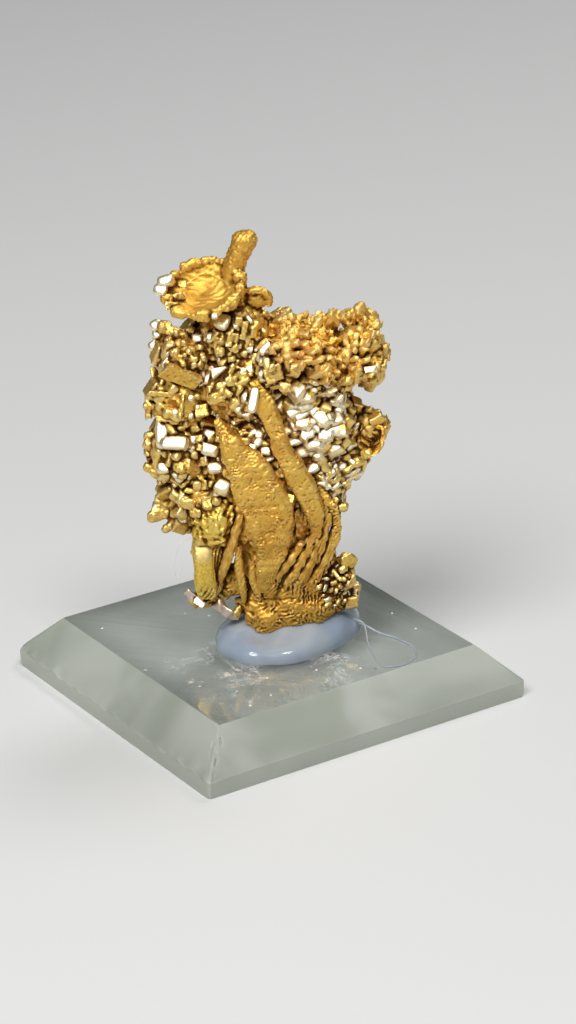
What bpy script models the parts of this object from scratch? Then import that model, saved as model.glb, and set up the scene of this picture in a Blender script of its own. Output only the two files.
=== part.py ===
"""A crystallised gold specimen, glued upright on a bevelled base of clear acrylic.

Lengths are in metres, +Z is up, and the middle of the base's underside is the origin.
The gold and its glue are modelled in a frame of their own that stands on the base: X runs
to the right across the display face, Y away from the viewer and Z up. Tables for that
frame are in millimetres.
"""

import math
import random
from typing import NamedTuple

import bmesh
import bpy
from mathutils import Euler, Matrix, Vector
from mathutils.bvhtree import BVHTree

MM = 0.001
GAP = 0.3 * MM
SHARP_ANGLE = math.radians(40.0)

# Acrylic base, with one upright corner worn rounder than the others
BASE_SIDE = 38.1 * MM
BASE_HEIGHT = 5.5 * MM
BEVEL_WIDTH = 3.7 * MM
BEVEL_DROP = 3.7 * MM
CORNER_CUT = 0.25 * MM
WORN_CORNER_CUT = 0.9 * MM
TOP_CORNER_SHARE = 0.3

# Where the specimen stands on the base, and how far its display face is turned
STAND = Vector((1.1 * MM, -2.8 * MM, BASE_HEIGHT))
FACE_TURN = math.radians(-32.5)

# Dab of glue, and how high and how far left its pocket takes in the foot of the gold
GLUE_LENGTH = 17.0
GLUE_WIDTH = 12.9
GLUE_DOME = 2.6
GLUE_MIDDLE = (-0.1, 1.2, 0.75)
GLUE_TURN = math.radians(46.0)
GLUE_SEGMENTS = 28
GLUE_RINGS = 16
POCKET_TOP = 4.4
POCKET_LEFT = -5.6
POCKET_GAP = 1.5 * GAP

# String of glue, seen from above in the base's own frame
STRING_RADIUS = 0.1 * MM
STRING_PATH = [
    (7.75, -6.25), (6.3, -9.5), (5.0, -12.8), (4.85, -14.2), (5.7, -14.85), (7.1, -15.05),
    (9.0, -14.2), (9.9, -12.2), (9.7, -9.8), (8.95, -7.8), (8.45, -6.5),
]

# Fineness of the core and of the finished gold, and the seed of its crystals
VOXEL = 0.24
CORE_TRIANGLES = 3600
GOLD_TRIANGLES = 8800
CRYSTAL_SEED = 7

# Rounded masses of the gold: middle and half sizes
MASSES = {
    "fan": ((0.4, -0.3, 4.4), (4.8, 2.9, 3.0)),
    "fan_left": ((-2.8, -0.4, 4.3), (2.1, 2.4, 2.4)),
    "fan_right": ((4.4, 0.9, 4.7), (1.9, 2.1, 2.3)),
    "lower_stem": ((-0.2, 0.0, 8.8), (4.6, 3.0, 4.3)),
    "waist": ((-1.3, 0.2, 13.8), (5.6, 3.5, 4.8)),
    "middle": ((-2.9, 0.2, 19.6), (6.0, 3.6, 5.2)),
    "left_low": ((-8.3, 0.3, 15.8), (3.3, 2.8, 3.3)),
    "left_mid": ((-10.0, 0.2, 20.9), (3.0, 2.8, 3.9)),
    "left_high": ((-9.9, 0.3, 26.6), (2.6, 2.7, 3.4)),
    "upper_left": ((-9.5, 0.2, 31.0), (2.6, 2.6, 2.6)),
    "neck": ((-4.6, 0.5, 33.4), (3.4, 2.5, 3.6)),
    "centre_high": ((-3.9, 0.2, 27.9), (4.9, 3.0, 3.7)),
    "arm_root": ((0.7, 0.1, 31.5), (3.8, 2.4, 2.7)),
    "arm_bump": ((3.9, 0.0, 33.8), (1.1, 1.3, 1.4)),
    "arm_tip": ((6.2, -0.1, 31.5), (3.0, 2.2, 2.6)),
    "arm_peak": ((8.0, -0.2, 34.0), (1.2, 1.3, 1.9)),
    "arm_corner": ((9.3, 0.0, 31.1), (1.0, 1.2, 1.6)),
    "right_mid": ((3.2, 0.0, 24.4), (3.9, 2.9, 4.2)),
    "right_low": ((3.4, 0.2, 18.0), (2.6, 2.6, 4.6)),
    "right_link": ((6.3, 0.4, 22.4), (2.0, 1.8, 2.2)),
    "right_lobe": ((8.3, 0.2, 22.8), (1.4, 1.5, 1.9)),
    "right_step": ((6.4, 0.2, 19.2), (1.4, 1.5, 1.5)),
    "bulge_top": ((-7.1, -0.9, 14.0), (2.1, 2.0, 2.6)),
    "bulge": ((-7.8, -1.0, 10.6), (1.8, 1.8, 3.0)),
    "bulge_low": ((-8.0, -0.9, 7.3), (1.5, 1.5, 2.0)),
    "bulge_root": ((-5.4, 0.1, 6.6), (2.4, 1.4, 1.6)),
    "knob": ((-2.1, 0.2, 37.2), (1.2, 0.9, 1.1)),
    "cup_stem": ((-5.4, 0.6, 36.6), (2.2, 1.7, 1.9)),
}

# Broad ridges along the display face: middle of each point, then half width
MAIN_BLADE = [
    (-6.5, -3.0, 25.6, 0.25), (-5.8, -3.3, 24.2, 0.7), (-4.5, -3.7, 22.0, 1.5),
    (-3.5, -3.9, 20.2, 2.0), (-2.7, -4.0, 18.2, 2.3), (-1.8, -4.0, 16.1, 2.3),
    (-1.6, -3.9, 13.8, 2.1), (-1.6, -3.6, 11.6, 1.6), (-2.1, -3.3, 9.4, 0.9),
    (-2.7, -3.0, 7.0, 0.7),
]
SECOND_BLADE = [
    (-2.6, -2.9, 29.4, 0.35), (-1.6, -3.2, 27.0, 0.75), (-0.7, -3.5, 24.4, 0.8),
    (-0.1, -3.6, 22.3, 0.8), (1.1, -3.6, 20.1, 0.95), (2.0, -3.6, 17.9, 1.15),
    (2.7, -3.5, 15.7, 1.0), (3.0, -3.3, 13.5, 0.7),
]
THIRD_BLADE = [
    (3.1, -2.6, 17.8, 0.5), (4.6, -2.5, 16.0, 0.7), (5.1, -2.4, 14.4, 0.7),
    (4.8, -2.3, 12.2, 0.6), (4.2, -2.2, 10.4, 0.4),
]
BLADE_THICKNESS = 0.85

# Slender rods beside and below the blades: points, then radius
RODS = [
    ([(1.6, -3.5, 12.2), (0.1, -3.3, 10.0), (-1.5, -2.9, 8.0)], 0.48),
    ([(2.5, -3.4, 12.0), (1.2, -3.2, 9.6), (-0.1, -2.8, 7.4)], 0.46),
    ([(3.2, -3.2, 12.4), (2.2, -3.1, 9.7), (0.8, -2.7, 7.0)], 0.46),
    ([(4.4, -2.9, 15.2), (3.7, -2.9, 12.8), (3.0, -2.8, 10.3)], 0.5),
    ([(4.9, -2.5, 13.6), (3.6, -2.6, 9.6), (1.8, -2.5, 6.8)], 0.46),
    ([(-4.4, -2.9, 15.3), (-5.4, -2.9, 12.2), (-6.6, -2.3, 8.6)], 0.5),
    ([(0.6, -3.4, 13.9), (-0.6, -3.3, 10.8), (-1.9, -2.9, 8.6)], 0.42),
]

# Finger above the cup, and the branched twig low on the right: points with radii
FINGER = [
    (-4.3, 0.3, 36.4, 1.0), (-3.9, 0.2, 38.6, 0.85), (-3.4, 0.1, 40.2, 0.75),
    (-3.6, 0.0, 41.6, 0.9), (-2.9, 0.0, 42.9, 1.05), (-2.7, 0.0, 43.9, 0.55),
]
TWIGS = [
    [(3.9, -0.8, 6.8, 0.8), (5.3, -0.9, 8.3, 0.6), (6.0, -1.0, 9.1, 0.55)],
    [(4.6, -1.0, 6.2, 0.7), (6.0, -1.2, 7.0, 0.5), (6.5, -1.1, 7.6, 0.4)],
    [(5.0, 0.7, 3.4, 0.9), (6.3, 1.0, 3.6, 0.7), (6.8, 1.1, 4.9, 0.35)],
    [(-7.2, -1.2, 5.6, 0.6), (-8.8, -1.3, 4.9, 0.6), (-9.6, -1.2, 4.6, 0.4)],
]

# Dished plate under the finger
CUP_MIDDLE = (-7.3, -0.9, 38.4)
CUP_HALF_LENGTH = 4.0
CUP_HALF_DEPTH = 3.3
CUP_TURN = (38.0, -14.0, 0.0)
CUP_PROFILE = [
    (0.0, -0.95), (0.55, -0.75), (0.92, -0.1), (1.0, 0.4), (0.9, 0.62),
    (0.78, 0.35), (0.55, -0.05), (0.0, -0.25),
]
CUP_STEPS = 20
RIM_KNOBS = 15
RIM_KNOB_SIZE = (0.5, 0.8)
RIM_REACH = 0.96
RIM_HEIGHT = 0.45

# Single flat-faced crystals that catch the light: middle, half sizes, turn in degrees
SLABS = [
    ((-11.4, -2.6, 24.2), (0.9, 0.6, 1.6), (10, 0, 4)),
    ((-10.2, -2.7, 22.9), (1.5, 0.6, 0.8), (16, 4, -6)),
    ((-9.0, -2.5, 29.2), (2.4, 0.45, 1.1), (24, 18, 8)),
    ((-11.9, -1.6, 27.2), (0.45, 1.3, 1.4), (0, 4, 12)),
    ((-9.4, -2.4, 26.0), (0.5, 1.0, 1.4), (0, -8, -10)),
    ((-11.0, -2.6, 25.8), (1.7, 0.8, 0.4), (-8, 6, 0)),
    ((-6.6, -2.5, 25.6), (1.0, 0.8, 1.0), (18, 28, 20)),
    ((-4.8, -2.3, 34.4), (0.8, 0.6, 1.0), (12, 32, 16)),
    ((-5.4, -2.6, 29.8), (0.9, 0.5, 0.7), (20, -22, 14)),
    ((-11.6, -1.2, 33.1), (0.8, 0.8, 0.8), (20, 30, 35)),
    ((-10.3, -1.6, 32.3), (0.9, 0.8, 0.8), (40, 10, 25)),
    ((-12.0, -0.8, 31.2), (0.6, 0.6, 0.7), (25, 40, 10)),
    ((-11.0, -1.3, 37.9), (0.65, 0.65, 0.65), (30, 20, 40)),
    ((-8.9, -1.9, 5.3), (0.9, 0.28, 0.5), (-20, 22, 10)),
    ((-6.8, -1.9, 4.7), (1.0, 0.28, 0.55), (-26, 30, 0)),
    ((6.3, -1.5, 9.6), (0.9, 0.35, 0.8), (10, -26, 20)),
    ((6.8, 1.0, 4.4), (0.45, 0.35, 1.1), (0, 14, 0)),
]

# Ledges and ridges of the reverse: points with half widths
REVERSE_RIDGES = [
    [(-4.0, 3.2, 30.0, 0.8), (-2.6, 3.8, 25.0, 1.5), (-1.0, 3.9, 20.0, 1.7),
     (0.4, 3.6, 15.0, 1.3), (0.8, 3.0, 10.0, 0.8)],
    [(-9.6, 2.8, 28.0, 0.6), (-8.8, 3.2, 23.0, 1.0), (-7.6, 3.2, 18.0, 0.9),
     (-6.6, 2.6, 13.5, 0.5)],
    [(5.4, 2.3, 31.0, 0.6), (4.2, 2.9, 26.0, 1.0), (3.8, 2.9, 21.0, 1.0),
     (3.6, 2.6, 16.0, 0.6)],
]

# Pits between the crystals: middle and half sizes
PITS = [
    ((-8.3, -2.4, 35.2), (2.6, 2.0, 0.9)),
    ((-7.8, -3.2, 21.6), (1.0, 1.5, 1.3)),
    ((-11.0, -3.2, 27.0), (1.0, 1.6, 0.8)),
    ((-5.9, -3.4, 16.9), (0.9, 1.7, 1.5)),
    ((-4.0, -3.4, 10.4), (0.9, 1.7, 1.9)),
    ((-4.6, -3.0, 6.7), (0.7, 1.6, 1.1)),
    ((6.6, -2.2, 27.6), (2.0, 1.7, 0.9)),
    ((-4.6, -3.2, 31.6), (1.2, 1.4, 0.8)),
    ((-0.9, -2.8, 30.6), (0.9, 1.3, 0.8)),
    ((-6.6, -3.0, 19.0), (0.6, 1.3, 1.0)),
    ((0.9, -3.3, 17.2), (0.4, 1.2, 1.2)),
    ((-4.9, 3.4, 16.4), (1.3, 1.6, 1.9)),
    ((1.6, 3.4, 23.4), (1.1, 1.6, 1.8)),
    ((-6.2, 3.2, 26.2), (1.2, 1.5, 1.4)),
    ((1.8, 3.0, 29.6), (1.2, 1.2, 1.0)),
    ((2.6, 3.0, 10.8), (1.0, 1.2, 1.6)),
]


class Patch(NamedTuple):
    """Where one crowd of crystals grows, and what they look like."""

    side: str
    middle: tuple
    half: tuple
    count: int
    length: tuple
    slimness: float
    turn: tuple
    form: str


# Crowds of flat-faced crystals, each on an ellipse of the face or the reverse
CRYSTALS = [
    Patch("front", (3.2, 24.4), (3.6, 5.4), 40, (1.3, 2.1), 0.55, (20, 35, 15), "block"),
    Patch("front", (-9.4, 18.6), (4.2, 6.0), 34, (1.5, 2.4), 0.8, (18, 12, 24), "block"),
    Patch("front", (-10.6, 27.4), (3.0, 3.6), 8, (1.4, 2.2), 0.8, (12, 6, 10), "block"),
    Patch("front", (-8.8, 32.2), (3.6, 1.8), 12, (1.3, 2.0), 0.8, (30, 25, 10), "tip"),
    Patch("front", (-4.6, 30.6), (3.0, 5.0), 22, (1.2, 2.0), 0.55, (15, 20, 35), "block"),
    Patch("front", (-2.3, 24.6), (1.8, 4.0), 14, (1.0, 1.6), 0.7, (25, 30, 20), "block"),
    Patch("front", (8.2, 22.4), (2.2, 3.0), 12, (1.3, 1.9), 0.7, (10, 45, 20), "block"),
    Patch("front", (5.8, 17.4), (2.0, 4.0), 12, (1.1, 1.7), 0.7, (10, 40, 20), "tip"),
    Patch("front", (-7.7, 10.6), (1.8, 5.0), 12, (1.4, 2.1), 0.7, (8, 6, 14), "block"),
    Patch("front", (5.4, 7.0), (2.0, 2.8), 8, (1.1, 1.8), 0.6, (20, 50, 30), "tip"),
    Patch("back", (-4.6, 30.2), (6.2, 5.0), 24, (1.7, 2.5), 0.6, (30, 40, 30), "block"),
    Patch("back", (-6.4, 19.4), (5.0, 6.4), 24, (1.7, 2.6), 0.65, (15, 55, 22), "block"),
    Patch("back", (2.0, 20.6), (4.6, 6.4), 20, (1.5, 2.3), 0.6, (40, 20, 12), "tip"),
    Patch("back", (-1.4, 8.2), (6.4, 5.2), 22, (1.4, 2.2), 0.6, (20, 15, 45), "block"),
    Patch("back", (7.6, 22.4), (2.2, 2.8), 5, (1.3, 2.0), 0.8, (10, 45, 20), "tip"),
    Patch("left", (0.0, 22.0), (2.0, 10.0), 12, (1.2, 1.9), 0.8, (12, 20, 24), "block"),
    Patch("right", (0.0, 17.0), (1.8, 9.0), 8, (1.1, 1.7), 0.8, (14, 30, 20), "block"),
]

# Crowds of rounded knobs, which melt into the core
KNOBS = [
    Patch("front", (4.6, 32.0), (6.6, 4.2), 46, (1.4, 2.4), 0.85, (0, 0, 0), "knob"),
    Patch("front", (0.6, 4.4), (5.2, 1.9), 40, (1.4, 2.4), 0.35, (80, 30, 0), "knob"),
    Patch("front", (-7.3, 39.2), (4.2, 3.0), 16, (1.0, 1.6), 0.8, (30, 10, 20), "knob"),
    Patch("front", (-3.2, 41.2), (1.6, 2.9), 14, (0.9, 1.4), 0.8, (20, 20, 20), "knob"),
    Patch("back", (4.6, 32.0), (6.4, 4.2), 30, (1.4, 2.4), 0.85, (0, 0, 0), "knob"),
    Patch("back", (-6.0, 38.8), (4.4, 5.4), 16, (1.2, 2.0), 0.8, (20, 20, 20), "knob"),
]

# How crystals stand: spread of their widths and of their turns in degrees, rise above the
# core as a share of their half length, clearance from smooth parts, and tries for each place
WIDTH_SPREAD = (0.85, 1.15)
TURN_SPREAD = 16.0
RISE = 0.2
BARE_MARGIN = 0.3
CANDIDATES = 10
TIP_STRETCH = 1.3

# For each side, the line of sight and the direction that runs across it
FAR = 60.0
VIEWS = {
    "front": (Vector((0, 1, 0)), Vector((1, 0, 0))),
    "back": (Vector((0, -1, 0)), Vector((1, 0, 0))),
    "left": (Vector((1, 0, 0)), Vector((0, 1, 0))),
    "right": (Vector((-1, 0, 0)), Vector((0, 1, 0))),
}


def clear_scene():
    for obj in list(bpy.data.objects):
        bpy.data.objects.remove(obj, do_unlink=True)


def new_material(name, colour, roughness, metallic=0.0, transmission=0.0, ior=1.45):
    material = bpy.data.materials.new(name)
    material.use_nodes = True
    shader = material.node_tree.nodes["Principled BSDF"]
    shader.inputs["Base Color"].default_value = (*colour, 1.0)
    shader.inputs["Roughness"].default_value = roughness
    shader.inputs["Metallic"].default_value = metallic
    shader.inputs["Transmission Weight"].default_value = transmission
    shader.inputs["IOR"].default_value = ior
    return material


def new_object(name, data, material=None, parent=None):
    obj = bpy.data.objects.new(name, data)
    bpy.context.scene.collection.objects.link(obj)
    if material is not None:
        data.materials.append(material)
    obj.parent = parent
    return obj


def mesh_of(bm, name):
    """Turns a bmesh into a mesh with its faces pointing out, and frees the bmesh."""
    bmesh.ops.recalc_face_normals(bm, faces=bm.faces)
    mesh = bpy.data.meshes.new(name)
    bm.to_mesh(mesh)
    bm.free()
    return mesh


def placed(middle, half_sizes, turn=(0, 0, 0)):
    """Matrix for a unit shape given its middle, its half sizes and its turn in degrees."""
    spin = Euler([math.radians(angle) for angle in turn]).to_matrix().to_4x4()
    return Matrix.Translation(middle) @ spin @ Matrix.Diagonal((*half_sizes, 1.0))


def add_ball(bm, middle, half_sizes, turn=(0, 0, 0), steps=3):
    bmesh.ops.create_icosphere(
        bm, subdivisions=steps, radius=1.0, matrix=placed(middle, half_sizes, turn)
    )


def add_knob(bm, middle, half_sizes, turn):
    add_ball(bm, middle, half_sizes, turn, steps=2)


def add_block(bm, middle, half_sizes, turn):
    bmesh.ops.create_cube(bm, size=2.0, matrix=placed(middle, half_sizes, turn))


def add_tip(bm, middle, half_sizes, turn):
    """An octahedron, the commonest form of a gold crystal."""
    long = [TIP_STRETCH * half for half in half_sizes]
    bmesh.ops.create_uvsphere(
        bm, u_segments=4, v_segments=2, radius=1.0, matrix=placed(middle, long, turn)
    )


FORMS = {"block": add_block, "tip": add_tip, "knob": add_knob}


def close_loops(bm, loops):
    """Skins a run of vertex loops and closes both its ends."""
    for lower, upper in zip(loops, loops[1:]):
        for index in range(len(lower)):
            after = (index + 1) % len(lower)
            bm.faces.new((lower[index], lower[after], upper[after], upper[index]))
    bm.faces.new(loops[0])
    bm.faces.new(loops[-1])


def add_sweep(bm, points, thickness=None, sides=8):
    """A closed bar through points (x, y, z, half width), no thicker than the thickness."""
    middles = [Vector(point[:3]) for point in points]
    loops = []
    for index, (middle, point) in enumerate(zip(middles, points)):
        before = middles[max(index - 1, 0)]
        after = middles[min(index + 1, len(middles) - 1)]
        along = (after - before).normalized()
        across = along.cross(Vector((0, 1, 0))).normalized()
        out = across.cross(along)
        half_width = point[3]
        half_depth = half_width if thickness is None else min(thickness, half_width)
        ring = []
        for side in range(sides):
            angle = math.tau * side / sides
            offset = across * half_width * math.cos(angle) + out * half_depth * math.sin(angle)
            ring.append(bm.verts.new(middle + offset))
        loops.append(ring)
    close_loops(bm, loops)


def add_cup(bm):
    """The dished plate: a profile turned about its axis, then drawn out to an oval."""
    matrix = placed(CUP_MIDDLE, (CUP_HALF_LENGTH, CUP_HALF_DEPTH, 1.0), CUP_TURN)
    loops = []
    for radius, height in CUP_PROFILE:
        ring = []
        for step in range(CUP_STEPS):
            angle = math.tau * step / CUP_STEPS
            place = Vector((radius * math.cos(angle), radius * math.sin(angle), height))
            ring.append(bm.verts.new(matrix @ place))
        loops.append(ring)
    close_loops(bm, loops)


def add_cup_rim(bm, chance):
    """Knobs all round the raised edge of the cup."""
    plate = placed(CUP_MIDDLE, (CUP_HALF_LENGTH, CUP_HALF_DEPTH, 1.0), CUP_TURN)
    for knob in range(RIM_KNOBS):
        angle = math.tau * (knob + chance.uniform(-0.3, 0.3)) / RIM_KNOBS
        around = (RIM_REACH * math.cos(angle), RIM_REACH * math.sin(angle), RIM_HEIGHT)
        size = chance.uniform(*RIM_KNOB_SIZE)
        add_knob(bm, plate @ Vector(around), (size, 0.8 * size, 0.9 * size), (0, 0, 0))


def add_bare_parts(bm):
    """The smooth parts that no crystals grow on: blades, rods and the cup."""
    for blade in (MAIN_BLADE, SECOND_BLADE, THIRD_BLADE):
        add_sweep(bm, blade, BLADE_THICKNESS)
    for points, radius in RODS:
        add_sweep(bm, [(*point, radius) for point in points])
    add_cup(bm)


def add_core(bm):
    """The rounded masses, finger, twigs and reverse ridges that crystals grow on."""
    for middle, half_sizes in MASSES.values():
        add_ball(bm, middle, half_sizes)
    for points in [FINGER, *TWIGS]:
        add_sweep(bm, points)
    for points in REVERSE_RIDGES:
        add_sweep(bm, points, BLADE_THICKNESS)


def spots_on(tree, bare, patch, chance):
    """Evenly spread places where lines of sight from one side meet the core."""
    sight, across = VIEWS[patch.side]
    found = []
    for _ in range(patch.count):
        best, best_room = None, 0.0
        for _ in range(CANDIDATES):
            angle = chance.uniform(0, math.tau)
            reach = math.sqrt(chance.random())
            u = patch.middle[0] + patch.half[0] * reach * math.cos(angle)
            v = patch.middle[1] + patch.half[1] * reach * math.sin(angle)
            spot, normal, _, _ = tree.ray_cast(across * u + Vector((0, 0, v)) - sight * FAR, sight)
            if spot is None or bare.find_nearest(spot)[3] < BARE_MARGIN:
                continue
            room = min(((spot - other).length for other, _ in found), default=FAR)
            if room > best_room:
                best, best_room = (spot, normal), room
        if best is not None:
            found.append(best)
    return found


def add_patches(bm, patches, tree, bare, chance):
    for patch in patches:
        for spot, normal in spots_on(tree, bare, patch, chance):
            half = 0.5 * chance.uniform(*patch.length)
            wide = half * patch.slimness * chance.uniform(*WIDTH_SPREAD)
            deep = half * patch.slimness * chance.uniform(*WIDTH_SPREAD)
            turn = [angle + chance.gauss(0, TURN_SPREAD) for angle in patch.turn]
            FORMS[patch.form](bm, spot + normal * (half * RISE), (wide, deep, half), turn)


def evaluated_mesh(obj):
    """A copy of the object's mesh with its modifiers applied."""
    graph = bpy.context.evaluated_depsgraph_get()
    return bpy.data.meshes.new_from_object(obj.evaluated_get(graph))


def keep_largest_shell(mesh):
    """Leaves the biggest connected surface, so the solid has no closed bubbles or crumbs."""
    bm = bmesh.new()
    bm.from_mesh(mesh)
    seen = set()
    shells = []
    for first in bm.faces:
        if first in seen:
            continue
        seen.add(first)
        shell = [first]
        for face in shell:
            for edge in face.edges:
                if len(edge.link_faces) != 2:
                    continue
                for other in edge.link_faces:
                    if other not in seen:
                        seen.add(other)
                        shell.append(other)
        shells.append(shell)
    shells.sort(key=len)
    for shell in shells[:-1]:
        bmesh.ops.delete(bm, geom=shell, context="FACES")
    bm.to_mesh(mesh)
    bm.free()


def fused(mesh):
    """Every shape of the mesh grown into one skin, by a fine voxel remesh."""
    scratch = new_object("fused", mesh)
    remesh = scratch.modifiers.new("one skin", "REMESH")
    remesh.mode = "VOXEL"
    remesh.voxel_size = VOXEL
    result = evaluated_mesh(scratch)
    bpy.data.objects.remove(scratch, do_unlink=True)
    keep_largest_shell(result)
    return result


def combined(mesh, other_mesh, operation):
    """One mesh with the other added to it or taken from it."""
    scratch = new_object("combined", mesh)
    other = new_object("other", other_mesh)
    boolean = scratch.modifiers.new("combined", "BOOLEAN")
    boolean.operation = operation
    boolean.object = other
    boolean.use_self = True
    result = evaluated_mesh(scratch)
    bpy.data.objects.remove(scratch, do_unlink=True)
    bpy.data.objects.remove(other, do_unlink=True)
    keep_largest_shell(result)
    return result


def thinned(mesh, triangles):
    """The mesh brought down to about this many triangles."""
    scratch = new_object("thinned", mesh)
    mesh.calc_loop_triangles()
    decimate = scratch.modifiers.new("thinner", "DECIMATE")
    decimate.ratio = triangles / len(mesh.loop_triangles)
    decimate.use_collapse_triangulate = True
    result = evaluated_mesh(scratch)
    bpy.data.objects.remove(scratch, do_unlink=True)
    keep_largest_shell(result)
    return result


def pits_mesh():
    """The hollows to be cut into the core."""
    bm = bmesh.new()
    for middle, half_sizes in PITS:
        add_ball(bm, middle, half_sizes, steps=2)
    return mesh_of(bm, "pits")


def core_mesh(bare, chance):
    """Masses, knobs, blades and rods as one skin, pitted and brought down to size."""
    bm = bmesh.new()
    add_core(bm)
    bmesh.ops.recalc_face_normals(bm, faces=bm.faces)
    tree = BVHTree.FromBMesh(bm)
    add_patches(bm, KNOBS, tree, bare, chance)
    add_cup_rim(bm, chance)
    add_bare_parts(bm)
    skin = fused(mesh_of(bm, "core"))
    skin = combined(skin, pits_mesh(), "DIFFERENCE")
    return thinned(skin, CORE_TRIANGLES)


def crystals_mesh(core, bare, chance):
    """All flat-faced crystals, each rooted in the surface of the core."""
    bm = bmesh.new()
    bm.from_mesh(core)
    tree = BVHTree.FromBMesh(bm)
    bm.clear()
    for middle, half_sizes, turn in SLABS:
        add_block(bm, middle, half_sizes, turn)
    add_patches(bm, CRYSTALS, tree, bare, chance)
    return mesh_of(bm, "crystals")


def build_gold(frame, material):
    """The whole gold, grown as one solid."""
    chance = random.Random(CRYSTAL_SEED)
    bm = bmesh.new()
    add_bare_parts(bm)
    bare = BVHTree.FromBMesh(bm)
    bm.free()
    core = core_mesh(bare, chance)
    crystals = crystals_mesh(core, bare, chance)
    gold = thinned(combined(core, crystals, "UNION"), GOLD_TRIANGLES)
    gold.transform(Matrix.Scale(MM, 4))
    gold.materials.clear()
    return new_object("gold_nugget", gold, material, frame)


def build_base(material):
    """The slab: an upright lip, then a bevel on all four sides up to the flat top."""
    half = BASE_SIDE / 2
    top_half = half - BEVEL_WIDTH
    lip = BASE_HEIGHT - BEVEL_DROP
    corners = [(1, 1), (-1, 1), (-1, -1), (1, -1)]
    cuts = [CORNER_CUT, WORN_CORNER_CUT, CORNER_CUT, CORNER_CUT]
    levels = [(half, 0.0, 1.0), (half, lip, 1.0), (top_half, BASE_HEIGHT, TOP_CORNER_SHARE)]
    bm = bmesh.new()
    loops = []
    for reach, height, share in levels:
        ring = []
        for (x, y), cut in zip(corners, cuts):
            short = reach - cut * share
            ends = [(x * reach, y * short), (x * short, y * reach)]
            if x * y < 0:
                ends.reverse()
            ring += [bm.verts.new((*end, height)) for end in ends]
        loops.append(ring)
    close_loops(bm, loops)
    return new_object("acrylic_base", mesh_of(bm, "acrylic_base"), material)


def foot_pocket(gold, glue_matrix):
    """A hull round the foot of the gold, in the glue's own frame."""
    to_glue = glue_matrix.inverted()
    bm = bmesh.new()
    for vert in gold.data.vertices:
        if vert.co.z < POCKET_TOP * MM and vert.co.x > POCKET_LEFT * MM:
            bm.verts.new(to_glue @ vert.co)
    hull = bmesh.ops.convex_hull(bm, input=bm.verts)
    loose = [part for part in hull["geom_interior"] if isinstance(part, bmesh.types.BMVert)]
    bmesh.ops.delete(bm, geom=loose, context="VERTS")
    bmesh.ops.recalc_face_normals(bm, faces=bm.faces)
    return bm


def build_glue(frame, gold, material):
    """A dome cut flat below, with a pocket for the foot of the gold."""
    x, y, z = (along * MM for along in GLUE_MIDDLE)
    glue_matrix = Matrix.Translation((x, y, 0)) @ Matrix.Rotation(GLUE_TURN, 4, "Z")
    half_sizes = (GLUE_LENGTH / 2 * MM, GLUE_WIDTH / 2 * MM, GLUE_DOME * MM)
    bm = bmesh.new()
    bmesh.ops.create_uvsphere(
        bm,
        u_segments=GLUE_SEGMENTS,
        v_segments=GLUE_RINGS,
        radius=1.0,
        matrix=placed((0, 0, z), half_sizes),
    )
    everything = bm.verts[:] + bm.edges[:] + bm.faces[:]
    below = bmesh.ops.bisect_plane(
        bm, geom=everything, plane_co=(0, 0, GAP), plane_no=(0, 0, 1), clear_inner=True
    )
    rim = [part for part in below["geom_cut"] if isinstance(part, bmesh.types.BMEdge)]
    bmesh.ops.contextual_create(bm, geom=rim)
    glue = new_object("mounting_glue", mesh_of(bm, "mounting_glue"), material, frame)
    glue.data.shade_smooth()
    glue.data.set_sharp_from_angle(angle=SHARP_ANGLE)
    glue.location = (x, y, 0)
    glue.rotation_euler.z = GLUE_TURN

    pocket = new_object("pocket_cutter", mesh_of(foot_pocket(gold, glue_matrix), "pocket"))
    pocket.parent = glue
    pocket.hide_render = True
    pocket.display_type = "WIRE"
    swell = pocket.modifiers.new("clear of the gold", "DISPLACE")
    swell.strength = POCKET_GAP
    swell.mid_level = 0.0
    cut = glue.modifiers.new("pocket", "BOOLEAN")
    cut.object = pocket
    return glue


def build_string(material):
    """The fine loop of glue that lies on the base."""
    height = BASE_HEIGHT + GAP + STRING_RADIUS
    curve = bpy.data.curves.new("glue_string", "CURVE")
    curve.dimensions = "3D"
    curve.bevel_depth = STRING_RADIUS
    curve.bevel_resolution = 0
    curve.resolution_u = 3
    curve.use_fill_caps = True
    spline = curve.splines.new("BEZIER")
    spline.bezier_points.add(len(STRING_PATH) - 1)
    for point, (x, y) in zip(spline.bezier_points, STRING_PATH):
        point.co = (x * MM, y * MM, height)
        point.handle_left_type = "AUTO"
        point.handle_right_type = "AUTO"
    return new_object("glue_string", curve, material)


def main():
    clear_scene()
    acrylic = new_material("clear acrylic", (0.86, 0.9, 0.87), 0.08, transmission=1.0, ior=1.49)
    glue = new_material("hot glue", (0.72, 0.78, 0.86), 0.2, transmission=0.3, ior=1.48)
    gold = new_material("native gold", (0.83, 0.55, 0.13), 0.34, metallic=1.0)
    build_base(acrylic)
    frame = new_object("specimen_frame", None)
    frame.location = STAND
    frame.rotation_euler.z = FACE_TURN
    nugget = build_gold(frame, gold)
    build_glue(frame, nugget, glue)
    build_string(glue)


if __name__ == "__main__":
    main()
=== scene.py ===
"""Looks of a crystallised gold specimen, glued upright on a bevelled base of clear acrylic.

The gold is modelled in millimetres in a frame that stands on the base: X runs to the right
across the display face, Y away from the viewer and Z up. Each finished piece is then put in
its place on the base, in metres.
"""

import math
import random
from functools import lru_cache
from typing import NamedTuple

import bmesh
import bpy
import numpy as np
from mathutils import Euler, Matrix, Vector
from mathutils.bvhtree import BVHTree
from mathutils.kdtree import KDTree


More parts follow.
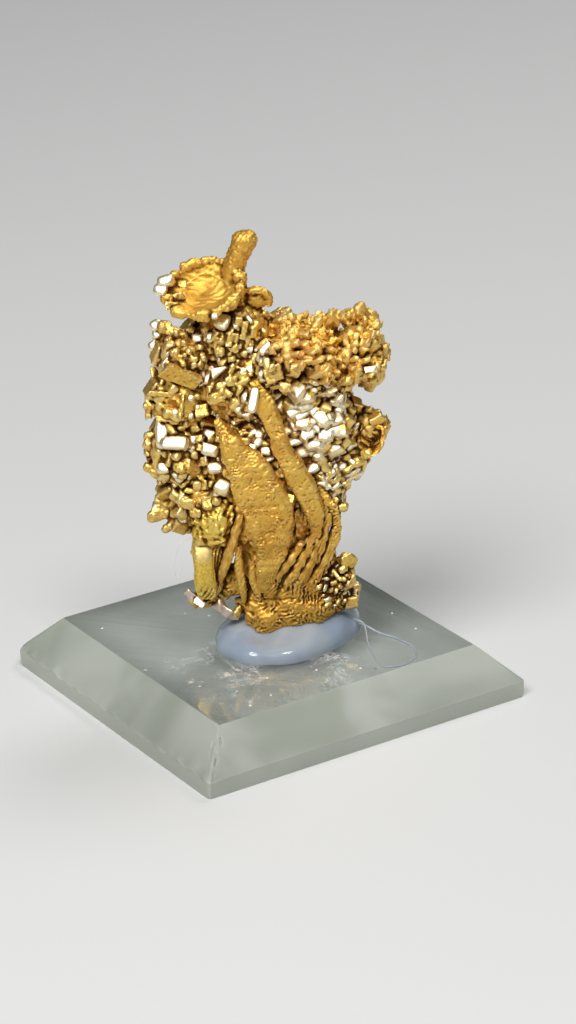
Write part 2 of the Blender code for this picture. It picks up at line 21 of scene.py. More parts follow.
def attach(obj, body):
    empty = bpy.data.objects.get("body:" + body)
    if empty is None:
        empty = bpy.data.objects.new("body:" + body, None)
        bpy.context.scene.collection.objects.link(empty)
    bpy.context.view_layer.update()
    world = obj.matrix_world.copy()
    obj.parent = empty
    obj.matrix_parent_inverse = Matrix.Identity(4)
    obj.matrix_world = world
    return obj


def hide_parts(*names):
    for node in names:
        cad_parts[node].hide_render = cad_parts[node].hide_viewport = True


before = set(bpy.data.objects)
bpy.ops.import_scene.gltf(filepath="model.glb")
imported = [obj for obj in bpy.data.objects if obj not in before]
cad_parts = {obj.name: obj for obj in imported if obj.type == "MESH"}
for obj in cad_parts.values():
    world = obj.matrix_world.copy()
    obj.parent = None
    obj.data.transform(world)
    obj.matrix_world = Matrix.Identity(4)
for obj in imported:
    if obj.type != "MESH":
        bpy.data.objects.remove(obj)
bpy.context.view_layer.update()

MM = 0.001

# Acrylic base
BASE_SIDE = 38.1 * MM
BASE_HEIGHT = 5.5 * MM
BEVEL_WIDTH = 3.7 * MM
BEVEL_DROP = 3.7 * MM
CORNER_CUT = 0.25 * MM
WORN_CORNER_CUT = 0.9 * MM

# Where the specimen stands on the base, and how far its display face is turned
STAND = Vector((1.1 * MM, -2.8 * MM, BASE_HEIGHT))
FACE_TURN = math.radians(-32.5)
SPECIMEN = Matrix.Translation(STAND) @ Matrix.Rotation(FACE_TURN, 4, "Z") @ Matrix.Scale(MM, 4)

# How much of the corner cuts is left at the top edge, and points along each side
TOP_CORNER_SHARE = 0.3
BASE_STEPS = 90

# How far the underside's edge is worn back, and the top's edge back and down
LOWER_EDGE = 0.06
UPPER_EDGE = (0.05, 0.03)

# Where hands have smeared the polish beside the glue
SMEAR_MIDDLE = (-5.0, -7.0, 5.5)
SMEAR_REACH = 13.0

# Dab of glue: length, width and rise, its middle in the specimen's frame and its turn
GLUE_LENGTH = 17.0
GLUE_WIDTH = 12.9
GLUE_RISE = 3.2
GLUE_MIDDLE = (-0.1, 1.2, 0.0)
GLUE_TURN = 46.0

# Dip in the front of the dab: its middle and its reach, squared
GLUE_DIP = (-2.4, -3.0)
GLUE_DIP_REACH = 3.4

# Fine loop of glue on the base: points in the base's frame with radii
STRING_PATH = [
    (7.2, -5.4, 6.9, 0.16), (7.75, -6.6, 6.6, 0.11), (6.3, -9.5, 6.05, 0.09),
    (5.0, -12.8, 5.72, 0.085), (4.85, -14.2, 5.62, 0.1), (5.7, -14.85, 5.6, 0.1),
    (7.1, -15.05, 5.6, 0.1), (9.0, -14.2, 5.6, 0.1), (9.9, -12.2, 5.62, 0.11),
    (9.7, -9.8, 5.64, 0.13), (8.95, -7.8, 5.7, 0.13), (8.3, -6.3, 6.1, 0.14),
    (7.6, -5.2, 6.4, 0.18),
]

# Fibre of lint that hangs off the lower left: places right and up in the display view, depths
FIBRE_PATH = [
    (-9.6, 10.6, -1.0), (-10.6, 10.2, -1.2), (-11.1, 9.2, -1.3), (-11.5, 7.7, -1.4),
    (-11.3, 6.7, -1.4), (-10.95, 6.8, -1.3), (-10.8, 7.6, -1.2), (-10.75, 8.4, -1.1),
]
FIBRE_RADIUS = 0.035

# Camera: where it stands about the base, and what lies in the middle of its picture
CAMERA_AZIMUTH = math.radians(-32.48)
CAMERA_ELEVATION = math.radians(23.51)
CAMERA_ROLL = math.radians(-1.73)
CAMERA_DISTANCE = 9.811 * BASE_SIDE
CAMERA_RIGHT = 0.056 * BASE_SIDE
CAMERA_UP = 0.454 * BASE_SIDE
CAMERA_LENS = 126.84

# Rounded masses of the gold: middle and half sizes
MASSES = {
    "fan": ((0.4, -0.3, 4.4), (4.8, 2.9, 3.0)),
    "fan_left": ((-2.8, -0.4, 4.3), (2.1, 2.4, 2.4)),
    "fan_right": ((4.4, 0.9, 4.7), (1.9, 2.1, 2.3)),
    "lower_stem": ((-0.2, 0.0, 8.8), (4.6, 3.0, 4.3)),
    "waist": ((-1.3, 0.2, 13.8), (5.6, 3.5, 4.8)),
    "middle": ((-2.9, 0.2, 19.6), (6.0, 3.6, 5.2)),
    "left_low": ((-8.3, 0.3, 15.8), (3.3, 2.8, 3.3)),
    "left_mid": ((-10.0, 0.2, 20.9), (3.0, 2.8, 3.9)),
    "left_high": ((-9.9, 0.3, 26.6), (2.6, 2.7, 3.4)),
    "upper_left": ((-9.5, 0.2, 31.0), (2.6, 2.6, 2.6)),
    "neck": ((-4.6, 0.5, 33.4), (3.4, 2.5, 3.6)),
    "centre_high": ((-3.9, 0.2, 27.9), (4.9, 3.0, 3.7)),
    "arm_root": ((0.7, 0.1, 31.2), (3.8, 2.4, 2.5)),
    "arm_bump": ((4.7, 0.0, 33.7), (0.7, 1.1, 1.3)),
    "arm_tip": ((5.9, -0.1, 31.1), (2.8, 2.1, 1.6)),
    "arm_peak": ((8.1, -0.2, 33.8), (0.85, 1.2, 2.1)),
    "arm_corner": ((8.6, 0.0, 31.0), (0.8, 1.2, 1.2)),
    "right_mid": ((3.2, 0.0, 24.4), (3.9, 2.9, 4.2)),
    "right_low": ((3.4, 0.2, 18.0), (2.6, 2.6, 4.6)),
    "right_link": ((6.3, 0.4, 22.4), (2.0, 1.8, 2.2)),
    "right_lobe": ((8.3, 0.2, 22.8), (1.4, 1.5, 1.9)),
    "right_step": ((6.4, 0.2, 19.2), (1.4, 1.5, 1.5)),
    "bulge_top": ((-7.1, -0.9, 14.0), (2.1, 2.0, 2.6)),
    "bulge": ((-7.8, -1.0, 10.6), (1.8, 1.8, 3.0)),
    "bulge_low": ((-8.0, -0.9, 7.3), (1.5, 1.5, 2.0)),
    "bulge_root": ((-5.4, 0.1, 6.6), (2.4, 1.4, 1.6)),
    "apron": ((0.3, -1.25, 6.8), (3.9, 1.8, 3.1)),
    "toe": ((-2.0, -1.5, 3.3), (2.5, 1.75, 2.0)),
    "knob": ((-2.2, 0.2, 37.1), (1.3, 0.7, 1.1)),
    "cup_stem": ((-5.4, 0.6, 36.6), (2.2, 1.7, 1.9)),
}

# Blades along the display face: points with half widths
MAIN_BLADE = [
    (-6.5, -3.0, 25.6, 0.25), (-5.8, -3.3, 24.2, 0.7), (-4.5, -3.7, 22.0, 1.5),
    (-3.5, -3.9, 20.2, 2.1), (-2.7, -4.0, 18.2, 2.5), (-1.8, -4.0, 16.1, 2.5),
    (-1.6, -3.9, 13.8, 2.2), (-1.6, -3.6, 11.6, 1.6), (-2.0, -3.2, 9.4, 1.1),
    (-2.1, -2.6, 7.6, 1.0), (-1.9, -1.7, 5.8, 0.8),
]
SECOND_BLADE = [
    (-2.7, -2.8, 29.6, 0.5), (-2.3, -3.0, 28.4, 0.9), (-1.6, -3.2, 26.8, 0.95),
    (-0.7, -3.5, 24.4, 0.8), (-0.1, -3.6, 22.3, 0.9), (1.0, -3.6, 20.1, 1.1),
    (2.0, -3.6, 17.9, 1.1), (2.8, -3.5, 15.7, 0.95), (3.0, -3.3, 13.5, 0.6),
    (2.6, -2.9, 11.8, 0.4),
]
THIRD_BLADE = [
    (3.1, -2.6, 17.8, 0.5), (4.5, -2.6, 16.0, 0.55), (5.0, -2.5, 14.4, 0.5),
    (4.8, -2.4, 12.2, 0.45), (4.2, -2.2, 10.4, 0.35),
]
BLADE_THICKNESS = 0.85

# Each blade with the points round it and along it, and how square it is: 1 for an oval
BLADES = [
    (MAIN_BLADE, 116, 200, 0.5), (SECOND_BLADE, 68, 150, 0.45), (THIRD_BLADE, 44, 84, 0.55),
]

# Upright slab below the pebbled bulge, on the left: points with half widths, and thickness
BULGE_SLAB = [
    (-8.5, -0.6, 13.4, 0.6), (-8.45, -1.5, 12.0, 0.9), (-8.4, -2.2, 10.6, 1.0),
    (-8.35, -2.5, 9.2, 1.0), (-8.3, -2.5, 7.6, 1.0), (-8.2, -2.1, 6.1, 0.85),
]
BULGE_SLAB_THICKNESS = 1.1

# Slender rods beside and below the blades: points, then radius
RODS = [
    ([(1.6, -3.5, 12.2), (0.1, -3.3, 10.0), (-1.5, -2.9, 8.0)], 0.48),
    ([(2.5, -3.4, 12.0), (1.2, -3.2, 9.6), (-0.1, -2.8, 7.4)], 0.46),
    ([(3.2, -3.2, 12.4), (2.2, -3.1, 9.7), (0.8, -2.7, 7.0)], 0.46),
    ([(4.4, -2.9, 15.2), (3.7, -2.9, 12.8), (3.0, -2.8, 10.3)], 0.5),
    ([(4.9, -2.5, 13.6), (3.6, -2.6, 9.6), (1.8, -2.5, 6.8)], 0.46),
    ([(-4.4, -2.9, 15.3), (-5.4, -2.9, 12.2), (-6.6, -2.3, 8.6)], 0.5),
    ([(0.6, -3.4, 13.9), (-0.6, -3.3, 10.8), (-1.9, -2.9, 8.6)], 0.42),
]

# How far a rod's lower end runs on into the foot
ROD_ROOT = 1.8

# Finger above the plate, leaf beside it, and twigs low on both sides: points with radii
FINGER = [
    (-4.3, 0.3, 36.4, 1.1), (-4.3, 0.2, 38.4, 1.2), (-4.4, 0.1, 39.9, 1.15),
    (-4.1, 0.0, 41.2, 1.1), (-3.6, 0.0, 42.3, 1.15), (-3.2, 0.0, 43.3, 1.25),
    (-3.1, 0.0, 43.9, 0.95), (-3.1, 0.0, 44.15, 0.4),
]
KNOB_LEAF = [
    (-3.1, -0.3, 37.9, 0.35), (-2.5, -0.4, 38.1, 0.42), (-1.8, -0.5, 38.1, 0.36),
    (-1.3, -0.4, 37.7, 0.4), (-0.9, -0.2, 37.1, 0.36), (-1.1, 0.0, 36.4, 0.4),
]
TWIGS = [
    [(3.9, -0.8, 6.8, 0.8), (5.3, -0.9, 8.3, 0.6), (6.0, -1.0, 9.1, 0.55)],
    [(4.6, -1.0, 6.2, 0.7), (6.0, -1.2, 7.0, 0.5), (6.5, -1.1, 7.6, 0.4)],
    [(5.0, 0.7, 3.4, 0.9), (6.3, 1.0, 3.6, 0.7), (6.8, 1.1, 4.9, 0.35)],
    [(-7.2, -1.2, 5.6, 0.6), (-8.8, -1.3, 4.9, 0.6), (-9.6, -1.2, 4.6, 0.4)],
]

# Dished plate under the finger: middle, half sizes and turn in degrees, radius and height
# along its profile, and the points round it and along the profile, plain and fine
CUP_MIDDLE = (-7.3, -0.9, 38.4)
CUP_HALF = (4.0, 3.3, 1.0)
CUP_TURN = (38.0, -14.0, 0.0)
CUP_PROFILE = [
    (0.0, -0.95), (0.55, -0.75), (0.92, -0.1), (1.0, 0.4), (0.9, 0.62),
    (0.78, 0.35), (0.55, -0.05), (0.0, -0.25),
]
CUP_PLAIN = (20, len(CUP_PROFILE))
CUP_FINE = (96, 64)

# Knobs on the plate's raised edge: how many, their sizes, and where they stand on the profile
RIM_KNOBS = 22
RIM_KNOB_SIZE = (0.32, 0.62)
RIM_REACH = 0.94
RIM_HEIGHT = 0.45

# Curled leaf at the right of the display face, ridged in rings, in the same way
LOBE_MIDDLE = (8.7, -0.9, 22.3)
LOBE_HALF = (1.45, 1.75, 1.0)
LOBE_TURN = (72.0, -14.0, 10.0)
LOBE_PROFILE = [
    (0.0, -0.15), (0.18, 0.02), (0.3, 0.3), (0.42, 0.02), (0.56, 0.42), (0.68, 0.1),
    (0.84, 0.55), (0.96, 0.5), (1.0, 0.2), (0.8, -0.2), (0.4, -0.5), (0.0, -0.6),
]

# Flat crystal behind the foot on the right: middle, half sizes, turn in degrees
HIND_CRYSTAL = ((6.8, 1.0, 4.4), (0.45, 0.35, 1.1), (0, 14, 0))

# Ledges and ridges of the reverse: points with half widths
REVERSE_RIDGES = [
    [(-4.0, 3.2, 30.0, 0.8), (-2.6, 3.8, 25.0, 1.5), (-1.0, 3.9, 20.0, 1.7),
     (0.4, 3.6, 15.0, 1.3), (0.8, 3.0, 10.0, 0.8)],
    [(-9.6, 2.8, 28.0, 0.6), (-8.8, 3.2, 23.0, 1.0), (-7.6, 3.2, 18.0, 0.9),
     (-6.6, 2.6, 13.5, 0.5)],
    [(5.4, 2.3, 31.0, 0.6), (4.2, 2.9, 26.0, 1.0), (3.8, 2.9, 21.0, 1.0),
     (3.6, 2.6, 16.0, 0.6)],
]

# Finer strands among the rods: points, then radius
STRANDS = [
    ([(3.6, -3.0, 13.0), (2.7, -3.1, 10.4), (1.5, -2.7, 7.2)], 0.33),
    ([(2.9, -3.5, 13.6), (1.8, -3.4, 10.8), (0.4, -2.9, 7.4)], 0.3),
    ([(0.2, -3.2, 11.0), (-0.8, -3.0, 8.6), (-1.7, -2.7, 6.8)], 0.36),
    ([(4.3, -2.6, 11.6), (3.4, -2.7, 9.0), (2.3, -2.5, 6.6)], 0.34),
    ([(5.3, -2.4, 15.6), (5.0, -2.5, 12.6), (4.0, -2.5, 9.4)], 0.3),
    ([(3.9, -3.1, 16.6), (4.0, -3.0, 14.2), (3.3, -2.9, 11.6)], 0.32),
    ([(-4.9, -2.6, 11.6), (-4.9, -2.5, 9.2), (-4.6, -2.3, 6.6)], 0.42),
    ([(-3.6, -2.8, 9.8), (-3.5, -2.6, 8.0), (-3.0, -2.5, 6.2)], 0.4),
]

# Pits between the crystals: middle and half sizes
PITS = [
    ((-8.6, -2.4, 35.2), (3.0, 2.2, 1.0)),
    ((-7.8, -3.2, 21.6), (1.0, 1.5, 1.3)),
    ((-11.0, -3.2, 27.0), (1.0, 1.6, 0.8)),
    ((-5.9, -3.4, 16.9), (0.9, 1.7, 1.5)),
    ((-4.0, -3.4, 10.4), (0.9, 1.7, 1.9)),
    ((-4.6, -3.0, 6.7), (0.7, 1.6, 1.1)),
    ((6.6, -2.2, 27.6), (2.0, 1.7, 0.9)),
    ((-4.6, -3.2, 31.6), (1.2, 1.4, 0.8)),
    ((-0.9, -2.8, 30.6), (0.9, 1.3, 0.8)),
    ((-6.6, -3.0, 19.0), (0.6, 1.3, 1.0)),
    ((0.9, -3.3, 17.2), (0.4, 1.2, 1.2)),
    ((-6.8, -2.4, 8.9), (0.45, 1.4, 1.8)),
    ((-4.3, -2.7, 6.2), (0.55, 1.4, 0.65)),
    ((-11.3, -3.2, 20.1), (1.3, 1.2, 0.55)),
    ((-6.2, -3.0, 26.2), (0.8, 1.2, 0.7)),
    ((0.6, -3.2, 13.4), (0.4, 1.2, 1.2)),
    ((-3.2, 0.0, 42.6), (0.25, 2.5, 0.2)),
    ((3.1, -2.4, 30.4), (0.35, 1.1, 1.4)),
    ((5.9, -2.4, 31.9), (0.5, 1.1, 0.6)),
    ((1.2, -2.7, 32.7), (0.7, 1.0, 0.45)),
    ((7.7, -2.3, 30.6), (0.5, 1.0, 0.6)),
    ((-4.9, 3.4, 16.4), (1.3, 1.6, 1.9)),
    ((1.6, 3.4, 23.4), (1.1, 1.6, 1.8)),
    ((-6.2, 3.2, 26.2), (1.2, 1.5, 1.4)),
    ((1.8, 3.0, 29.6), (1.2, 1.2, 1.0)),
    ((2.6, 3.0, 10.8), (1.0, 1.2, 1.6)),
]


class Patch(NamedTuple):
    """Where one crowd of crystals grows, and what they look like."""

    side: str
    middle: tuple
    half: tuple
    count: int
    length: tuple
    slimness: float
    turn: tuple
    form: str


# Crowds of flat-faced crystals, each on an ellipse seen from one side
CRYSTALS = [
    Patch("front", (3.2, 24.4), (3.6, 5.4), 40, (1.3, 2.1), 0.55, (20, 35, 15), "block"),
    Patch("front", (-9.4, 18.6), (4.2, 6.0), 34, (1.5, 2.4), 0.8, (18, 12, 24), "block"),
    Patch("front", (-10.6, 27.4), (3.0, 3.6), 8, (1.4, 2.2), 0.8, (12, 6, 10), "block"),
    Patch("front", (-8.8, 32.2), (3.6, 1.8), 12, (1.3, 2.0), 0.8, (30, 25, 10), "tip"),
    Patch("front", (-4.6, 30.6), (3.0, 5.0), 22, (1.2, 2.0), 0.55, (15, 20, 35), "block"),
    Patch("front", (-2.3, 24.6), (1.8, 4.0), 14, (1.0, 1.6), 0.7, (25, 30, 20), "block"),
    Patch("front", (8.2, 22.4), (2.2, 3.0), 12, (1.3, 1.9), 0.7, (10, 45, 20), "block"),
    Patch("front", (5.8, 17.4), (2.0, 4.0), 12, (1.1, 1.7), 0.7, (10, 40, 20), "tip"),
    Patch("front", (5.4, 7.0), (2.0, 2.8), 8, (1.1, 1.8), 0.6, (20, 50, 30), "tip"),
    Patch("back", (-4.6, 30.2), (6.2, 5.0), 24, (1.7, 2.5), 0.6, (30, 40, 30), "block"),
    Patch("back", (-6.4, 19.4), (5.0, 6.4), 24, (1.7, 2.6), 0.65, (15, 55, 22), "block"),
    Patch("back", (2.0, 20.6), (4.6, 6.4), 20, (1.5, 2.3), 0.6, (40, 20, 12), "tip"),
    Patch("back", (-1.4, 8.2), (6.4, 5.2), 22, (1.4, 2.2), 0.6, (20, 15, 45), "block"),
    Patch("back", (7.6, 22.4), (2.2, 2.8), 5, (1.3, 2.0), 0.8, (10, 45, 20), "tip"),
    Patch("left", (0.0, 22.0), (2.0, 10.0), 12, (1.2, 1.9), 0.8, (12, 20, 24), "block"),
    Patch("right", (0.0, 17.0), (1.8, 9.0), 8, (1.1, 1.7), 0.8, (14, 30, 20), "block"),
]

# Crowds of rounded knobs, which melt into the mass
KNOBS = [
    Patch("front", (4.6, 32.0), (6.6, 4.2), 46, (1.4, 2.4), 0.85, (0, 0, 0), "nodule"),
    Patch("front", (0.6, 4.4), (5.2, 1.9), 40, (1.4, 2.4), 0.35, (80, 30, 0), "nodule"),
    Patch("front", (-7.3, 39.2), (4.2, 3.0), 16, (1.0, 1.6), 0.8, (30, 10, 20), "nodule"),
    Patch("front", (-3.2, 41.2), (1.6, 2.9), 14, (0.9, 1.4), 0.8, (20, 20, 20), "nodule"),
    Patch("back", (4.6, 32.0), (6.4, 4.2), 30, (1.4, 2.4), 0.85, (0, 0, 0), "nodule"),
    Patch("back", (-6.0, 38.8), (4.4, 5.4), 16, (1.2, 2.0), 0.8, (20, 20, 20), "nodule"),
]

# Fine growth on top of all that
FINE_FRONT = [
    Patch("front", (-9.4, 18.4), (4.4, 6.4), 110, (0.4, 0.9), 0.8, (18, 12, 24), "chip"),
    Patch("front", (-9.8, 26.6), (3.6, 4.4), 40, (0.4, 0.8), 0.85, (12, 6, 10), "chip"),
    Patch("front", (-8.4, 32.2), (4.2, 2.6), 70, (0.5, 1.1), 0.75, (30, 25, 10), "tip"),
    Patch("front", (-4.4, 30.6), (3.6, 5.6), 170, (0.5, 1.4), 0.5, (15, 20, 35), "chip"),
    Patch("front", (-2.3, 24.4), (2.2, 4.6), 110, (0.45, 1.1), 0.65, (25, 30, 20), "chip"),
    Patch("front", (6.6, 20.2), (1.6, 3.4), 60, (0.5, 1.0), 0.6, (10, 45, 20), "chip"),
    Patch("front", (5.6, 15.4), (2.2, 5.0), 100, (0.4, 1.0), 0.7, (10, 40, 20), "chip"),
    Patch("front", (5.2, 7.2), (2.4, 3.2), 50, (0.4, 1.0), 0.6, (20, 50, 30), "tip"),
]
GRAINS = [
    Patch("front", (3.0, 24.0), (3.3, 5.2), 34, (1.2, 1.9), 0.75, (25, 40, 10), "chip"),
    Patch("front", (3.4, 24.0), (3.8, 5.6), 90, (0.6, 1.1), 0.75, (25, 50, 10), "chip"),
    Patch("front", (-2.3, 24.4), (2.2, 4.6), 26, (0.9, 1.5), 0.7, (25, 30, 20), "chip"),
    Patch("front", (-2.3, 24.4), (2.2, 4.6), 40, (0.5, 0.9), 0.75, (25, 30, 20), "chip"),
    Patch("front", (4.6, 16.8), (2.2, 3.2), 50, (0.6, 1.2), 0.7, (25, 50, 10), "chip"),
]
FINE_REVERSE = [
    Patch("back", (-4.6, 30.2), (7.4, 5.4), 260, (0.6, 1.5), 0.65, (30, 40, 30), "chip"),
    Patch("back", (-6.4, 19.4), (5.6, 6.8), 240, (0.6, 1.5), 0.7, (15, 55, 22), "chip"),
    Patch("back", (2.4, 20.6), (5.0, 6.8), 240, (0.55, 1.4), 0.65, (40, 20, 12), "tip"),
    Patch("back", (-1.4, 8.2), (6.6, 5.4), 230, (0.5, 1.3), 0.6, (20, 15, 45), "chip"),
    Patch("back", (7.6, 22.4), (2.6, 3.4), 60, (0.5, 1.2), 0.8, (10, 45, 20), "tip"),
    Patch("left", (0.0, 20.0), (2.8, 14.0), 220, (0.6, 1.3), 0.8, (12, 20, 24), "grain"),
    Patch("right", (0.0, 17.0), (2.6, 12.0), 180, (0.6, 1.3), 0.75, (14, 30, 20), "grain"),
]


class Growth(NamedTuple):
    """One piece of fine growth: how many of its crystals are lit, and how its skin is made."""

    name: str
    patches: list
    seed: int
    lit: float
    unevenness: float
    voxel: float
    faces_left: float


GROWTHS = [
    Growth("gold_fine_front", FINE_FRONT, 11, 0.35, 0.09, 0.1, 0.4),
    Growth("gold_fine_reverse", FINE_REVERSE, 12, 0.0, 0.09, 0.15, 0.33),
    Growth("gold_fine_grains", GRAINS, 14, 0.75, 0.2, 0.1, 0.4),
]

# Fine growth stands closer: tries for each place, and clearance from smooth parts
GROWTH_TRIES = 3
GROWTH_MARGIN = 0.12

# Flat pebbles that stand on the upper half of the bulge
BULGE_TILES = Patch("front", (-7.2, 14.4), (2.5, 2.5), 64, (0.8, 1.3), 0.8, (-14, 12, -6), "block")

# Chunky flakes that the arm is crumbled into
FLAKES = [
    Patch("front", (4.2, 31.2), (6.2, 3.4), 40, (1.6, 2.6), 0.5, (70, 20, 0), "stepped"),
    Patch("front", (4.2, 31.4), (6.2, 3.8), 150, (0.7, 1.3), 0.62, (50, 35, 20), "block"),
    Patch("back", (4.2, 31.2), (6.2, 3.4), 60, (1.4, 2.6), 0.55, (60, 20, 0), "stepped"),
    Patch("back", (4.2, 31.2), (6.2, 3.4), 60, (0.7, 1.3), 0.6, (60, 20, 0), "block"),
]
# Crisp leaves over the arm
LEAVES = [
    Patch("front", (1.4, 31.0), (3.6, 3.6), 55, (1.0, 2.1), 0.34, (60, 60, 20), "stepped"),
    Patch("front", (7.0, 31.0), (3.4, 4.2), 60, (1.0, 2.1), 0.34, (60, 20, 0), "stepped"),
    Patch("front", (4.2, 31.0), (6.4, 4.2), 30, (0.5, 0.9), 0.7, (30, 20, 40), "chip"),
    Patch("back", (4.2, 31.0), (6.4, 4.2), 80, (1.0, 2.0), 0.4, (60, 20, 0), "stepped"),
]

# How crystals stand: spread of their widths and of their turns in degrees, rise above the
# mass as a share of their half length, clearance from smooth parts, and tries for each place
WIDTH_SPREAD = (0.85, 1.15)
TURN_SPREAD = 16.0
RISE = 0.2
BARE_MARGIN = 0.3
TRIES = 10
CROWDED_TRIES = 4

# Seed of the crystals, and room kept round the middle of a pit, in its half sizes, squared
CRYSTAL_SEED = 7
PIT_CLEARANCE = 1.3

# Shade of a crystal: any of the darker ones, or its own; lit faces have one near the top,
# which paints them paler and silvery, a painted highlight
ANY_SHADE = -1.0
DARKER_SHADES = 0.8

# Rounded templates: cuts along each edge of the cube, and how round it becomes
ROUNDED = {"nodule": (2, 0.72), "grain": (2, 0.5), "chip": (1, 0.38), "disc": (3, 0.95)}
TIP_STRETCH = 1.3

# Steps on the faces of two templates: the way the face looks, width and rise
STEPPED = [(Vector((0, -1, 0)), 0.3, 0.16), (Vector((0, 0, 1)), 0.34, 0.2)]
HOPPER = [
    (Vector((0, -1, 0)), 0.26, -0.45), (Vector((0, 0, 1)), 0.3, -0.3),
    (Vector((-1, 0, 0)), 0.28, -0.35),
]

# For each side, the line of sight and the level direction across it, and a far distance
FAR = 60.0
UP = Vector((0, 0, 1))
VIEWS = {
    "front": (Vector((0, 1, 0)), Vector((1, 0, 0))),
    "back": (Vector((0, -1, 0)), Vector((1, 0, 0))),
    "left": (Vector((1, 0, 0)), Vector((0, 1, 0))),
    "right": (Vector((-1, 0, 0)), Vector((0, 1, 0))),
}

# Depths at which a line of sight that passes the gold is searched for the gold next to it
BESIDE_DEPTHS = np.arange(-3.0, 2.0, 0.2)

# Rooms in the gold, as ranges of x, y and z
ANYWHERE = (-FAR, FAR)
ARM_ROOM = ((-1.5, FAR), ANYWHERE, (25.0, 38.0))
ARM_NOTCH = ((5.3, 6.8), ANYWHERE, (32.6, FAR))
CROWN_ROOM = ((-FAR, -3.4), ANYWHERE, (33.0, FAR))
BELOW_CROWN = ((-FAR, -1.5), ANYWHERE, (33.0, 37.2))
BULGE_FRONT = ((-9.9, -5.2), (-FAR, -0.2), (-FAR, 16.4))
FACE_BY_HAND = (ANYWHERE, (-FAR, -0.5), (-FAR, 37.0))

# Masses that are skinned on their own, each with its own kind of surface
FOOT = ["fan", "fan_left", "fan_right", "bulge_root", "apron", "toe"]
BULGE = ["bulge_top", "bulge", "bulge_low"]
ARM = ["arm_root", "arm_bump", "arm_tip", "arm_peak", "arm_corner"]
CROWN = ["knob", "cup_stem"]

# Line of sight of the display view, and what lies to the right and up in it
SEEN = Vector((0, math.cos(CAMERA_ELEVATION), -math.sin(CAMERA_ELEVATION)))
SEEN_RIGHT = Vector((1, 0, 0))
SEEN_UP = Vector((0, math.sin(CAMERA_ELEVATION), math.cos(CAMERA_ELEVATION)))

# Kinds of single form: how far its front leans back and turns aside in degrees, how much that
# varies, and its shade, which on lit forms paints a silvery highlight
KINDS = {
    "lit": (-37, -12, 3, 0.9), "plain": (-20, -8, 14, ANY_SHADE), "dull": (14, 10, 14, 0.0),
    "flake": (-26, -12, 14, 1.0),
}

# How much the lit crystals of a crowd vary in their turn, in degrees
LIT_SPREAD = 5.0

